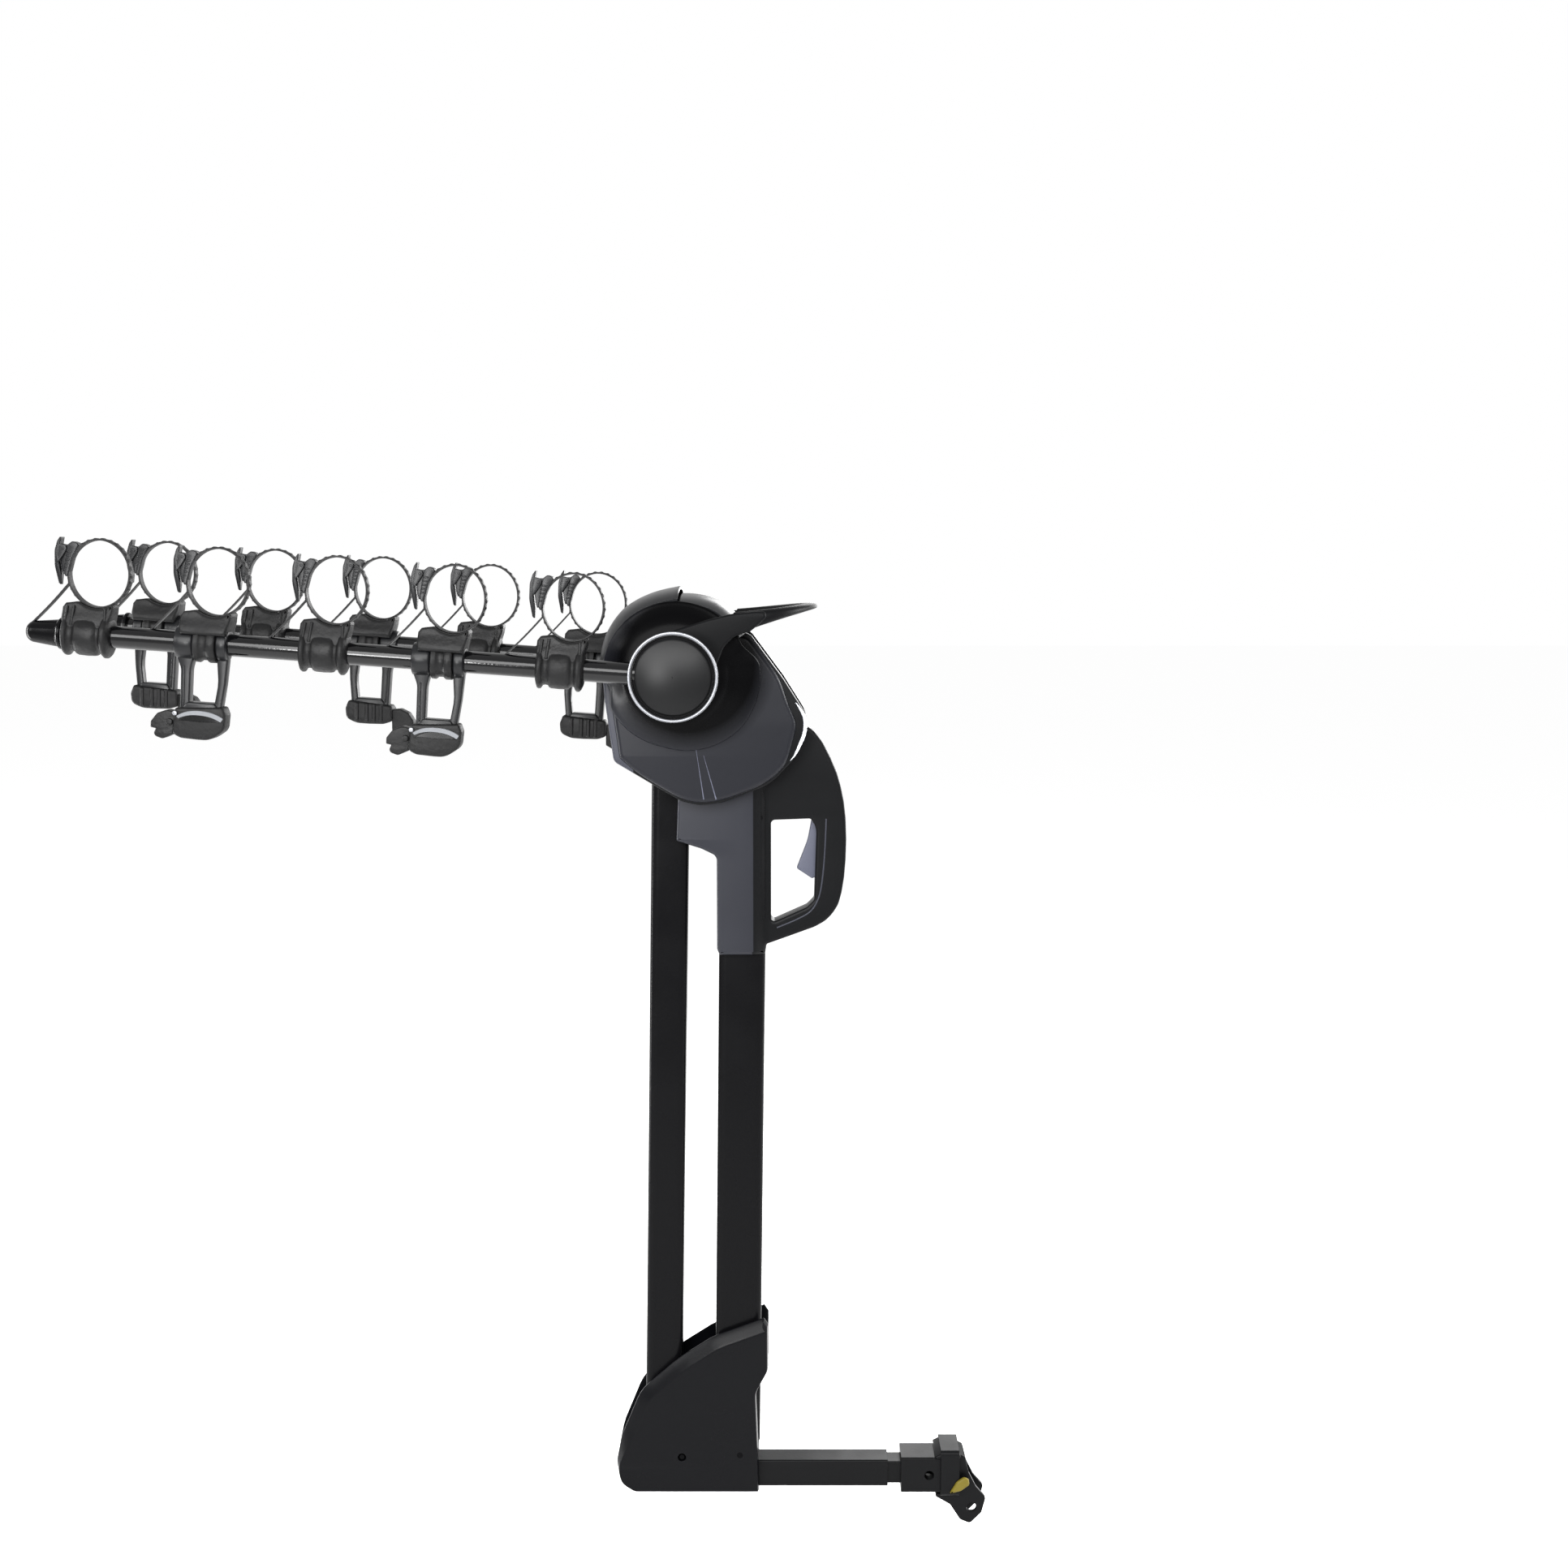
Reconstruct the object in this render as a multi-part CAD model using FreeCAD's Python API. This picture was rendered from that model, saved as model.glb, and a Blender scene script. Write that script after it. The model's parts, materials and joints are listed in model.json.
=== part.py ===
import FreeCAD, Part
import math
import os

# Hanging hitch rack for five bicycles, with a mast of two bars that glides away from the vehicle.
# X points to the vehicle, Y is across it, Z is up. The origin is the middle of the hitch pin hole.
# All sizes are millimetres and degrees.

# Shank and hitch end
shank_size = 38.1
shank_wall = 3.1
shank_left = -395.0
shank_right = -58.0
insert_size = 31.75
insert_left = -130.0
insert_right = 30.0
slip_gap = 0.05
sleeve_size = 50.8
sleeve_left = -39.5
sleeve_right = 42.0
pin_hole_r = 6.75
lip_size = 62.0
lip_length = 26.0
bracket_half_width = 22.0
bracket_wall = 6.0
bracket_hole_r = 7.0
tab_thick = 4.0

# Mast linkage, as x and z of each pivot
rear_foot = (-270.0, 33.0)
front_foot = (-374.0, 33.0)
rear_top = (-284.0, 1053.0)
front_top = (-360.0, 1048.0)
rear_bar_width = 63.5
rear_bar_depth = 36.0
front_bar_width = 50.8
front_bar_depth = 34.0
bar_wall = 2.5
bar_corner = 4.0
rear_bar_lean = 0.68
front_bar_lean = 0.95
bar_cut_above_foot = 14.0
plug_length = 45.0
rear_bar_end = 905.0
foot_lug_r = 12.5
foot_pin_r = 6.0
running_gap = 0.05
front_top_reach = 22.0
front_slot_r = 8.6
front_slot_shift = (-1.2, -0.7)
head_pin_r = 8.0
front_pin_r = 6.0

# Base plates and covers
plate_thick = 5.0
cover_half_width = 35.0
cover_wall = 4.0
cover_bevel = 9.0
cover_screw_r = 3.5
cover_screw_place = (rear_foot[0] - 77.0, rear_foot[1] - 2.0)
cover_drop = 2.0

# Neck plates and grip housing on the rear bar
neck_thick = 4.0
neck_lug_r = 22.0
neck_shift = 8.0
neck_overlap = 115.0
housing_half_width = 30.0
grip_half_width = 18.0
trigger_half_width = 6.0
trigger_side_gap = 0.6
head_pin_clearance = 1.0
trigger_pivot = (rear_top[0] + 128.0, rear_top[1] - 129.0)
trigger_pin_r = 2.5
latch_rod_r = 5.0
latch_rod_length = 620.0

# Head: frame plates, drums, shells and lower covers about the hub axis
hub = (-347.0, 1129.0)
axle_r = 12.0
head_plate_inner = 31.0
head_plate_thick = 4.0
bearing_r = 20.0
drum_r = 96.0
drum_flat_end = 76.0
drum_nose_r = 64.0
drum_end = 98.5
drum_wall = 4.0
front_shell_r = 112.0
rear_shell_r = 107.0
shell_wall = 4.0
shell_half_width = 84.0
front_shell_crown = 12.0
rear_shell_crown = 8.0
rear_shell_start = 34.0
lower_half_width = 66.0
lower_wall = 4.0
lower_bevel = 6.0

# Fold lever, a bail on the arm axle
lever_inner = 99.3
lever_thick = 7.6
lever_ring_r = 34.0
lever_plate_thick = 9.0
lever_start = 55.0
lever_straight = 105.0
lever_tip = 192.0
lever_rail = 20.0
lever_height = 68.0
lever_rise = 10.0

# Arms
arm_side = 127.0
arm_r = 14.3
arm_wall = 2.0
arm_tilt = 4.07
tip_overlap = 6.0
arm_root = 34.0
tip_length = 48.0
tip_r = 19.0
knuckle_r = 56.0
knuckle_inner = 110.0
knuckle_outer = 142.0
ring_r = 58.5
ring_wall = 3.5
ring_depth = 5.0
cap_r = 50.0
cap_bulge = 8.5

# Cradles, straps and third-point cradles
cradle_count = 5
cradle_first = 146.0
cradle_pitch = 152.0
far_shift = -8.0
cradle_half = 31.0
cradle_top = 36.5
arm_end_margin = 38.0
arm_length = cradle_first + (cradle_count - 1) * cradle_pitch + arm_end_margin
cradle_saddle_half_width = 16.0
loop_shift = 12.0
loop_height = 80.0
loop_half_wide = 40.5
loop_half_tall = 44.5
strap_thick = 2.5
strap_width = 14.0
tail_width = 9.0
tail_thick = 2.0
buckle_pivot = (-33.8, 29.0)
buckle_lean = 8.0
buckle_pin_r = 2.0
third_near = (1, 3)
third_far = (0, 2, 4)
collar_r = 21.0
collar_gap = 1.4
third_reach = 76.0
third_cross = 12.0
third_pad_height = 48.0
third_leg = 11.5
third_skirt_low = 11.0
third_skirt_half_width = 24.0

origin = FreeCAD.Vector(0, 0, 0)
y_axis = FreeCAD.Vector(0, 1, 0)
x_axis = FreeCAD.Vector(1, 0, 0)
z_axis = FreeCAD.Vector(0, 0, 1)


def point(x, y, z):
    return FreeCAD.Vector(x, y, z)


def about(place, offsets):
    """Outline corners given as offsets from a pivot."""
    return [(place[0] + x, place[1] + z) for x, z in offsets]


def rounded_wire(corners, radii):
    """Closed wire in the XZ plane through corners, each rounded by its radius with a tangent arc."""
    edges = []
    count = len(corners)
    ends = []
    for i in range(count):
        here = point(corners[i][0], 0, corners[i][1])
        before = point(corners[i - 1][0], 0, corners[i - 1][1])
        after = point(corners[(i + 1) % count][0], 0, corners[(i + 1) % count][1])
        radius = radii[i] if isinstance(radii, (list, tuple)) else radii
        into = (here - before).normalize()
        out = (after - here).normalize()
        turn = into.getAngle(out)
        if radius <= 0 or turn < 0.01:
            ends.append((here, here))
            continue
        back = radius * math.tan(turn / 2)
        start = here - into * back
        stop = here + out * back
        inward = (out - into).normalize()
        middle = here + inward * (radius / math.cos(turn / 2) - radius)
        ends.append((start, stop))
        edges.append((i, Part.Arc(start, middle, stop).toShape()))
    arcs = dict(edges)
    path = []
    for i in range(count):
        if i in arcs:
            path.append(arcs[i])
        a = ends[i][1]
        b = ends[(i + 1) % count][0]
        if (b - a).Length > 0.001:
            path.append(Part.LineSegment(a, b).toShape())
    return Part.Wire(path)


def slab(corners, radii, y_from, y_to):
    """Prism of an XZ outline between two y values."""
    face = Part.Face(rounded_wire(corners, radii))
    solid = face.extrude(point(0, y_to - y_from, 0))
    solid.translate(point(0, y_from, 0))
    return solid


def rod(x, z, radius, y_from, y_to):
    """Round bar along Y."""
    return Part.makeCylinder(radius, y_to - y_from, point(x, y_from, z), y_axis)


def box(x_from, x_to, y_from, y_to, z_from, z_to):
    return Part.makeBox(x_to - x_from, y_to - y_from, z_to - z_from, point(x_from, y_from, z_from))


def square_bar(size, x_from, x_to, corner):
    """Square bar along X about the shank axis with rounded long edges."""
    half = size / 2
    bar = box(x_from, x_to, -half, half, -half, half)
    long_edges = [e for e in bar.Edges if abs(e.tangentAt(0).x) > 0.99]
    return bar.makeFillet(corner, long_edges)


def upright(width, depth, corner, low, high):
    """Rectangular bar along Z about its own axis with rounded long edges."""
    bar = box(-width / 2, width / 2, -depth / 2, depth / 2, low, high)
    long_edges = [e for e in bar.Edges if abs(e.tangentAt(0).z) > 0.99]
    return bar.makeFillet(corner, long_edges)


def mirrored(shape):
    """The same piece on the far side."""
    return shape.mirror(origin, y_axis)


def bevel_outer(solid, y_value, size):
    """Chamfer around the face that lies at y_value."""
    edges = [e for e in solid.Edges if all(abs(v.Y - y_value) < 0.001 for v in e.Vertexes)]
    return solid.makeChamfer(size, edges)


def on_foot(shape, foot, lean):
    """Leans a bar built about its foot pivot and carries it there."""
    shape.rotate(origin, y_axis, lean)
    shape.translate(point(foot[0], 0, foot[1]))
    return shape


def on_arm(shape, side):
    """Carries a piece built on a level arm, with the hub axis at x 0 and z 0, onto the tilted arm."""
    shape.translate(point(0, side, 0))
    shape.rotate(origin, y_axis, arm_tilt)
    shape.translate(point(hub[0], 0, hub[1]))
    return shape


def on_hub(shape):
    shape.translate(point(hub[0], 0, hub[1]))
    return shape


def ring_section(profile, angle_from, angle_to):
    """Turns a profile of (radius, y) points about the hub axis, from one angle above +X to another."""
    corners = [point(r, y, 0) for r, y in profile]
    face = Part.Face(Part.makePolygon(corners + corners[:1]))
    face.rotate(origin, y_axis, -angle_from)
    return on_hub(face.revolve(origin, point(0, -1, 0), angle_to - angle_from))


# Base
def shank_tube():
    tube = square_bar(shank_size, shank_left, shank_right, 3.0)
    inner = insert_size + 2 * slip_gap
    bore = box(shank_left + 4, shank_right + 1, -inner / 2, inner / 2, -inner / 2, inner / 2)
    return tube.cut(bore)


def shank_insert():
    bar = square_bar(insert_size, insert_left, insert_right, 2.0)
    hollow = insert_size / 2 - 5
    bar = bar.cut(box(insert_left - 1, insert_right + 1, -hollow, hollow, -hollow, hollow))
    return bar.cut(rod(0, 0, pin_hole_r, -insert_size, insert_size))


def hitch_sleeve():
    sleeve = square_bar(sleeve_size, sleeve_left, sleeve_right, 3.0)
    inner = insert_size / 2 + slip_gap
    sleeve = sleeve.cut(box(sleeve_left - 1, sleeve_right + 1, -inner, inner, -inner, inner))
    return sleeve.cut(rod(0, 0, pin_hole_r, -sleeve_size, sleeve_size))


def sleeve_lip():
    half = lip_size / 2
    left = sleeve_right - lip_length
    lip = box(left, sleeve_right, -half, half, -half + 2, half + 6)
    long_edges = [e for e in lip.Edges if abs(e.tangentAt(0).x) > 0.99]
    lip = lip.makeFillet(6.0, long_edges)
    return lip.cut(square_bar(sleeve_size, left - 1, sleeve_right + 1, 3.0))


def tail_bracket():
    """Down-swept plates under the sleeve's mouth, with a cross wall that joins them."""
    top = -sleeve_size / 2 - 3.6
    outline = about((sleeve_right, 0), [(-38, top), (-12, -44), (2, -66), (16, -72), (32, -56), (38, -34),
                                        (24, -18), (14, 2), (8, 26), (0, 30), (0, top)])
    plate = slab(outline, [2, 8, 8, 6, 8, 6, 8, 8, 3, 0, 0], -bracket_half_width, bracket_half_width)
    inner = bracket_half_width - bracket_wall
    hollow = box(sleeve_right + 7, sleeve_right + 80, -inner, inner, -120, 60)
    plate = plate.cut(hollow)
    return plate.cut(rod(sleeve_right + 18, -48, bracket_hole_r, -bracket_half_width - 1, bracket_half_width + 1))


def yellow_tab():
    outline = about((sleeve_right, 0), [(-14, -23), (2, -19), (14, -10), (13, -2), (6, 1), (-4, -6)])
    return slab(outline, [1, 6, 5, 4, 5, 8], -lip_size / 2 - tab_thick, -lip_size / 2)


def cover_outline(inset):
    """Side outline of the base cover about the rear bar's foot pivot, drawn in by inset."""
    low = -shank_size / 2 - cover_drop - rear_foot[1] + inset
    corners = [(31 - inset, low), (30 - inset, 7), (27 - inset, 91), (44 - inset, 122), (44 - inset, 188 - inset),
               (38 - inset, 197 - inset), (-32, 171 - inset), (-82 + inset * 0.4, 139 - inset), (-134 + inset, 93),
               (-160 + inset, 25), (-166 + inset, -3), (-138 + inset, low)]
    corners = about(rear_foot, corners)
    return corners, [0, 30, 24, 24, 0, 0, 60, 120, 40, 30, 24, 26]


def cover_near():
    """Near base cover: a bevelled tray with its screw holes."""
    outer_y = -cover_half_width
    inner_y = -(shank_size / 2 + plate_thick)
    corners, radii = cover_outline(0)
    shell = bevel_outer(slab(corners, radii, outer_y, inner_y), outer_y, cover_bevel)
    corners, radii = cover_outline(cover_bevel)
    shell = shell.cut(slab(corners, [max(r - cover_bevel, 0) for r in radii], outer_y + cover_wall, inner_y + 1))
    return shell.cut(rod(cover_screw_place[0], cover_screw_place[1], cover_screw_r, outer_y - 1, inner_y + 1))


def plate_outline():
    """Side outline of the base plates, from the front bar's foot pivot to the rear bar's."""
    low = -shank_size / 2 + slip_gap
    front, z = front_foot
    rear = rear_foot[0]
    return [(rear + 20, low), (rear + 20, z + 27), (rear + 8, z + 45), (rear - 30, z + 45), (front + 29, z + 45),
            (front - 11, z + 29), (front - 22, z + 7), (front - 22, low)]


def base_frame():
    """Side plates outside the shank, joined by a floor strap under it."""
    half = shank_size / 2
    near = slab(plate_outline(), [2, 8, 14, 0, 0, 14, 10, 10], -half - plate_thick, -half)
    frame = near.fuse(mirrored(near))
    right = rear_foot[0] + 20
    frame = frame.fuse(box(right, right + 10, -half - plate_thick, half + plate_thick, half, half + 8))
    pins = [rod(foot[0], foot[1], foot_pin_r, -60, 60) for foot in (rear_foot, front_foot)]
    return frame.cut(Part.makeCompound(pins)).removeSplitter()


def base_pins():
    """Pivot pins of both bars, with the cover screws beside them."""
    reach = shank_size / 2 + plate_thick + 5.5
    pins = [rod(foot[0], foot[1], foot_pin_r, -reach, reach) for foot in (rear_foot, front_foot)]
    for side in (-1, 1):
        low = min(side * (shank_size / 2 + plate_thick), side * (cover_half_width - 1.5))
        high = max(side * (shank_size / 2 + plate_thick), side * (cover_half_width - 1.5))
        pins.append(rod(cover_screw_place[0], cover_screw_place[1], cover_screw_r - slip_gap, low, high))
    return Part.makeCompound(pins)


# Rear link
def rear_bar():
    low = bar_cut_above_foot
    high = rear_bar_end - rear_foot[1]
    bar = upright(rear_bar_width, rear_bar_depth, bar_corner, low, high)
    bore = upright(rear_bar_width - 2 * bar_wall, rear_bar_depth - 2 * bar_wall, 2.0, low - 1, high + 1)
    return on_foot(bar.cut(bore), rear_foot, rear_bar_lean)


def foot_block(width, depth, foot, lean):
    """Plug in the bar's lower end with the pivot lug below it."""
    inner_w = width - 2 * bar_wall - 2 * slip_gap
    inner_d = depth - 2 * bar_wall - 2 * slip_gap
    plug = upright(inner_w, inner_d, 2.0, bar_cut_above_foot, bar_cut_above_foot + plug_length)
    neck = box(-foot_lug_r, foot_lug_r, -inner_d / 2, inner_d / 2, 0, bar_cut_above_foot + 1)
    block = plug.fuse(neck).fuse(rod(0, 0, foot_lug_r, -inner_d / 2, inner_d / 2))
    block = block.cut(rod(0, 0, foot_pin_r + running_gap, -depth, depth)).removeSplitter()
    return on_foot(block, foot, lean)


def neck_plates():
    """Two plates welded outside the bar's top that carry the head pivot."""
    inner = rear_bar_depth / 2
    bar_left = rear_foot[0] + neck_shift - rear_bar_width / 2 + 0.25
    bar_right = rear_foot[0] + neck_shift + rear_bar_width / 2 - 0.25
    low = rear_bar_end - neck_overlap
    x, z = rear_top
    outline = [(bar_left, low), (bar_right, low), (bar_right, rear_bar_end + 55), (x + neck_lug_r + 6, z - 20),
               (x + neck_lug_r, z), (x + neck_lug_r * 0.7, z + neck_lug_r * 0.75), (x, z + neck_lug_r),
               (x - neck_lug_r * 0.75, z + neck_lug_r * 0.7), (x - neck_lug_r, z), (bar_left, rear_bar_end + 75)]
    near = slab(outline, [4, 4, 40, 20, 8, 10, 10, 10, 8, 30], -inner - neck_thick, -inner)
    near = near.cut(rod(x, z, head_pin_r + running_gap, -60, 60))
    return Part.makeCompound([near, mirrored(near)])


def housing_outline():
    """Side outline of the grip housing about the head pivot."""
    corners = about(rear_top, [(-66, -152), (-63.5, -91), (-34, -13), (-24, 16), (0, 28), (26, 18), (114, -15),
                               (146, -49), (163, -103), (164.5, -153), (161.5, -208), (153, -247), (126, -269),
                               (56, -296), (54, -309), (-8, -309), (-11.5, -301), (-11.5, -173), (-32, -163)])
    radii = [3, 6, 20, 14, 12, 14, 60, 60, 90, 120, 90, 22, 30, 3, 2, 3, 3, 10, 20]
    return corners, radii


def grip_opening():
    """Hand opening of the grip about the head pivot."""
    corners = about(rear_top, [(62, -267), (62, -125), (116, -123), (124, -135), (121, -235), (111, -245)])
    return corners, [5, 6, 5, 30, 8, 10]


def housing_near():
    """Near half of the moulded housing with the hand grip."""
    corners, radii = housing_outline()
    shell = slab(corners, radii, -housing_half_width, 0)
    x, z = rear_top
    left = x - 136
    right = x + 184
    low = z - 353
    plan = [(left, -housing_half_width), (x + 37, -housing_half_width), (x + 60, -grip_half_width),
            (right, -grip_half_width), (right, 0), (left, 0), (left, -housing_half_width)]
    plan = Part.Face(Part.makePolygon([point(plan_x, plan_y, low) for plan_x, plan_y in plan]))
    shell = shell.common(plan.extrude(point(0, 0, 450)))
    cavity_y = rear_bar_depth / 2 + neck_thick
    cavity = [(left, low), (x + 53.7, low), (x + 56.2, rear_bar_end + 0.5), (x + 56.2, z - 91), (x + 29, z - 20),
              (x + 29, z + 87), (left, z + 87)]
    shell = shell.cut(slab(cavity, 0, -cavity_y, 1))
    corners, radii = grip_opening()
    shell = shell.cut(slab(corners, radii, -60, 1))
    pocket = about(trigger_pivot, [(-18, -86), (20, -86), (20, 6), (12, 14), (-18, 14)])
    shell = shell.cut(slab(pocket, 2, -trigger_half_width - trigger_side_gap, 1))
    shell = shell.cut(rod(x, z, head_pin_r + head_pin_clearance, -60, 1))
    for screw_x, screw_z in housing_screw_places():
        shell = shell.cut(rod(screw_x, screw_z, cover_screw_r, -60, 1))
    return shell.cut(rod(trigger_pivot[0], trigger_pivot[1], trigger_pin_r, -grip_half_width + 3, 1))


def housing_screw_places():
    return about(rear_top, [(47.5, -121.0), (144.0, -53.0), (144.0, -241.0)])


def housing_screws():
    """Screws through both halves and the trigger's pin."""
    pieces = [rod(x, z, cover_screw_r, -grip_half_width + 2, grip_half_width - 2) for x, z in housing_screw_places()[1:]]
    x, z = housing_screw_places()[0]
    outer = housing_half_width - 7
    inner = rear_bar_depth / 2 + neck_thick
    pieces.append(rod(trigger_pivot[0], trigger_pivot[1], trigger_pin_r, -grip_half_width + 3, grip_half_width - 3))
    pieces.append(rod(x, z, cover_screw_r, -outer, -inner))
    pieces.append(rod(x, z, cover_screw_r, inner, outer))
    return Part.makeCompound(pieces)


def release_trigger():
    """Finger blade that turns on its pin in the handle."""
    outline = [(7, 7), (-4, 10), (-11, 2), (-16, -25), (-31, -64), (-10, -78), (-2, -75), (3, -24)]
    body = slab(about(trigger_pivot, outline), [5, 6, 6, 40, 3, 2, 2, 20], -trigger_half_width, trigger_half_width)
    return body.cut(rod(trigger_pivot[0], trigger_pivot[1], trigger_pin_r + running_gap, -20, 20))


def latch_rod():
    rod_z = Part.makeCylinder(latch_rod_r, latch_rod_length, point(0, 0, bar_cut_above_foot + plug_length), z_axis)
    return on_foot(rod_z, rear_foot, rear_bar_lean)


# Front link
def front_bar():
    low = bar_cut_above_foot
    high = front_top[1] - front_foot[1] + front_top_reach
    bar = upright(front_bar_width, front_bar_depth, bar_corner, low, high)
    bore = upright(front_bar_width - 2 * bar_wall, front_bar_depth - 2 * bar_wall, 2.0, low - 1, high + 1)
    bar = on_foot(bar.cut(bore), front_foot, front_bar_lean)
    return bar.cut(rod(front_top[0] + front_slot_shift[0], front_top[1] + front_slot_shift[1], front_slot_r, -40, 40))


# Head
def head_frame():
    """Two plates joined by the bearing tube of the arm axle."""
    x, z = hub
    outer = head_plate_inner + head_plate_thick
    outline = [(x - 42, z + 10), (front_top[0] - 22, front_top[1] + 10), (front_top[0] - 14, front_top[1] - 20),
               (rear_top[0] + 4, rear_top[1] - 22), (rear_top[0] + 23, rear_top[1] - 6), (x + 60, z - 10),
               (x + 44, z + 30), (x, z + 44), (x - 34, z + 34)]
    near = slab(outline, [10, 16, 12, 14, 12, 20, 20, 24, 14], -outer, -head_plate_inner)
    frame = near.fuse(mirrored(near)).fuse(rod(x, z, bearing_r, -head_plate_inner, head_plate_inner))
    frame = frame.cut(rod(x, z, axle_r + running_gap, -60, 60))
    frame = frame.cut(rod(rear_top[0], rear_top[1], head_pin_r, -60, 60))
    return frame.cut(rod(front_top[0], front_top[1], front_pin_r, -60, 60)).removeSplitter()


def head_pins():
    reach = head_plate_inner + head_plate_thick
    rear = rod(rear_top[0], rear_top[1], head_pin_r, -reach, reach)
    front = rod(front_top[0], front_top[1], front_pin_r, -reach, reach)
    return Part.makeCompound([rear, front])


def drum(side_sign):
    """Hollow side drum with a coned nose, open where the head plates stand."""
    inner_y = head_plate_inner + head_plate_thick
    profile = [(drum_r, inner_y), (drum_r, drum_flat_end), (drum_nose_r + 6, drum_end - 4), (drum_nose_r, drum_end),
               (axle_r + 0.5, drum_end), (axle_r + 0.5, drum_end - drum_wall),
               (drum_nose_r - 2, drum_end - drum_wall), (drum_r - drum_wall, drum_flat_end - 2),
               (drum_r - drum_wall, inner_y)]
    profile = [(r, side_sign * y) for r, y in profile]
    return ring_section(profile, 0, 360)


def side_drums():
    return Part.makeCompound([drum(-1), drum(1)])


def shell_profile(radius, crown):
    """Section of a top shell: flat across the middle, sloping down at both flanks."""
    half = shell_half_width
    low = radius - crown
    wall = shell_wall
    return [(low, -half), (radius, -half + 26), (radius, half - 26), (low, half), (low - wall, half - 1),
            (radius - wall, half - 27), (radius - wall, -half + 27), (low - wall, -half + 1)]


def front_shell():
    return ring_section(shell_profile(front_shell_r, front_shell_crown), 86, 176)


def rear_shell():
    return ring_section(shell_profile(rear_shell_r, rear_shell_crown), rear_shell_start, 85.7)


def lower_outline(inset):
    """Side outline of the lower covers about the hub, drawn in by inset."""
    corners = about(hub, [(-91 + inset, -1), (-80 + inset, -119 + inset * 0.6), (-33 + inset * 0.5, -148 + inset),
                          (4, -172 + inset), (29, -177 + inset), (61, -173 + inset), (125, -151 + inset * 0.8),
                          (157 - inset * 0.8, -109), (164 - inset, -79), (157 - inset, -37), (102 - inset, 43),
                          (47, 71)])
    return corners, [1, 16, 40, 30, 30, 60, 60, 60, 40, 60, 14, 1]


def lower_near():
    """Near lower cover: a bowl that stands off the plates, cut to fit round the drum."""
    outer_y = -lower_half_width
    inner_y = -(head_plate_inner + head_plate_thick)
    corners, radii = lower_outline(0)
    shell = bevel_outer(slab(corners, radii, outer_y, inner_y), outer_y, lower_bevel)
    corners, radii = lower_outline(lower_wall)
    shell = shell.cut(slab(corners, [max(r - lower_wall, 1) for r in radii], outer_y + lower_bevel, inner_y + 1))
    return shell.cut(rod(hub[0], hub[1], drum_r + 0.2, -100, 0))


def head_spine():
    """Wall that closes the head between the covers on the side away from the vehicle."""
    half = head_plate_inner + head_plate_thick
    outline = about(hub, [(-89, -17), (-81, -117), (-57, -131), (-54, -127), (-75, -113), (-83, -17)])
    return slab(outline, [1, 8, 2, 2, 8, 1], -half, half)


# Fold lever
def fold_lever():
    """Bail with a ring on the axle at each side, a leg up from each and a flat loop across the end."""
    outer = lever_inner + lever_thick
    rings = []
    for sign in (-1, 1):
        low = min(sign * lever_inner, sign * outer)
        high = max(sign * lever_inner, sign * outer)
        leg = slab([(-20, 24), (0, 58), (34, 66), (80, 75), (112, 82), (112, 73), (84, 60), (40, 30), (20, -20)],
                   [12, 24, 30, 20, 1, 1, 20, 20, 10], low, high)
        rings.append(leg.fuse(rod(0, 0, lever_ring_r, low, high)))
    half = lever_plate_thick / 2
    loop = box(lever_start, lever_straight, -outer, outer, -half, half)
    bow = Part.Face(Part.Wire(Part.Ellipse(origin, outer, lever_tip - lever_straight).toShape()))
    bow.rotate(origin, z_axis, 90)
    bow = bow.extrude(point(0, 0, lever_plate_thick))
    bow.translate(point(lever_straight, 0, -half))
    loop = loop.fuse(bow)
    inner = outer - lever_rail
    gap = box(-200, lever_straight, -inner, inner, -40, 40)
    hole = Part.Face(Part.Wire(Part.Ellipse(origin, inner, lever_tip - lever_straight - lever_rail).toShape()))
    hole.rotate(origin, z_axis, 90)
    hole = hole.extrude(point(0, 0, 80))
    hole.translate(point(lever_straight, 0, -40))
    loop = loop.cut(gap.fuse(hole)).cut(box(-300, lever_start, -200, 200, -60, 60))
    loop.rotate(origin, y_axis, -lever_rise)
    loop.translate(point(0, 0, lever_height - 8))
    lever = rings[0].fuse(rings[1]).fuse(loop)
    lever = lever.cut(rod(0, 0, axle_r + running_gap, -200, 200)).removeSplitter()
    return on_hub(lever)


# Arms
def arm_axle():
    return on_hub(rod(0, 0, axle_r, -knuckle_inner - 6, knuckle_inner + 6))


def arm_tube(side):
    tube = Part.makeCylinder(arm_r, arm_length - arm_root, point(-arm_length, 0, 0), x_axis)
    bore = Part.makeCylinder(arm_r - arm_wall, arm_length, point(-arm_length - 1, 0, 0), x_axis)
    return on_arm(tube.cut(bore), side)


def arm_tip(side):
    """Bullet-shaped end cap over the tube's end."""
    start = -arm_length + tip_overlap
    profile = [(start, 0), (start, tip_r), (start - 8, tip_r - 1), (start - tip_length * 0.6, tip_r - 4),
               (start - tip_length + 4, tip_r - 7), (start - tip_length, tip_r - 11), (start - tip_length, 0)]
    corners = [point(x, 0, r) for x, r in profile]
    cap = Part.Face(Part.makePolygon(corners + corners[:1])).revolve(origin, x_axis, 360)
    cap = cap.cut(Part.makeCylinder(arm_r + slip_gap, 7, point(start - 6, 0, 0), x_axis))
    return on_arm(cap, side)


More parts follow.
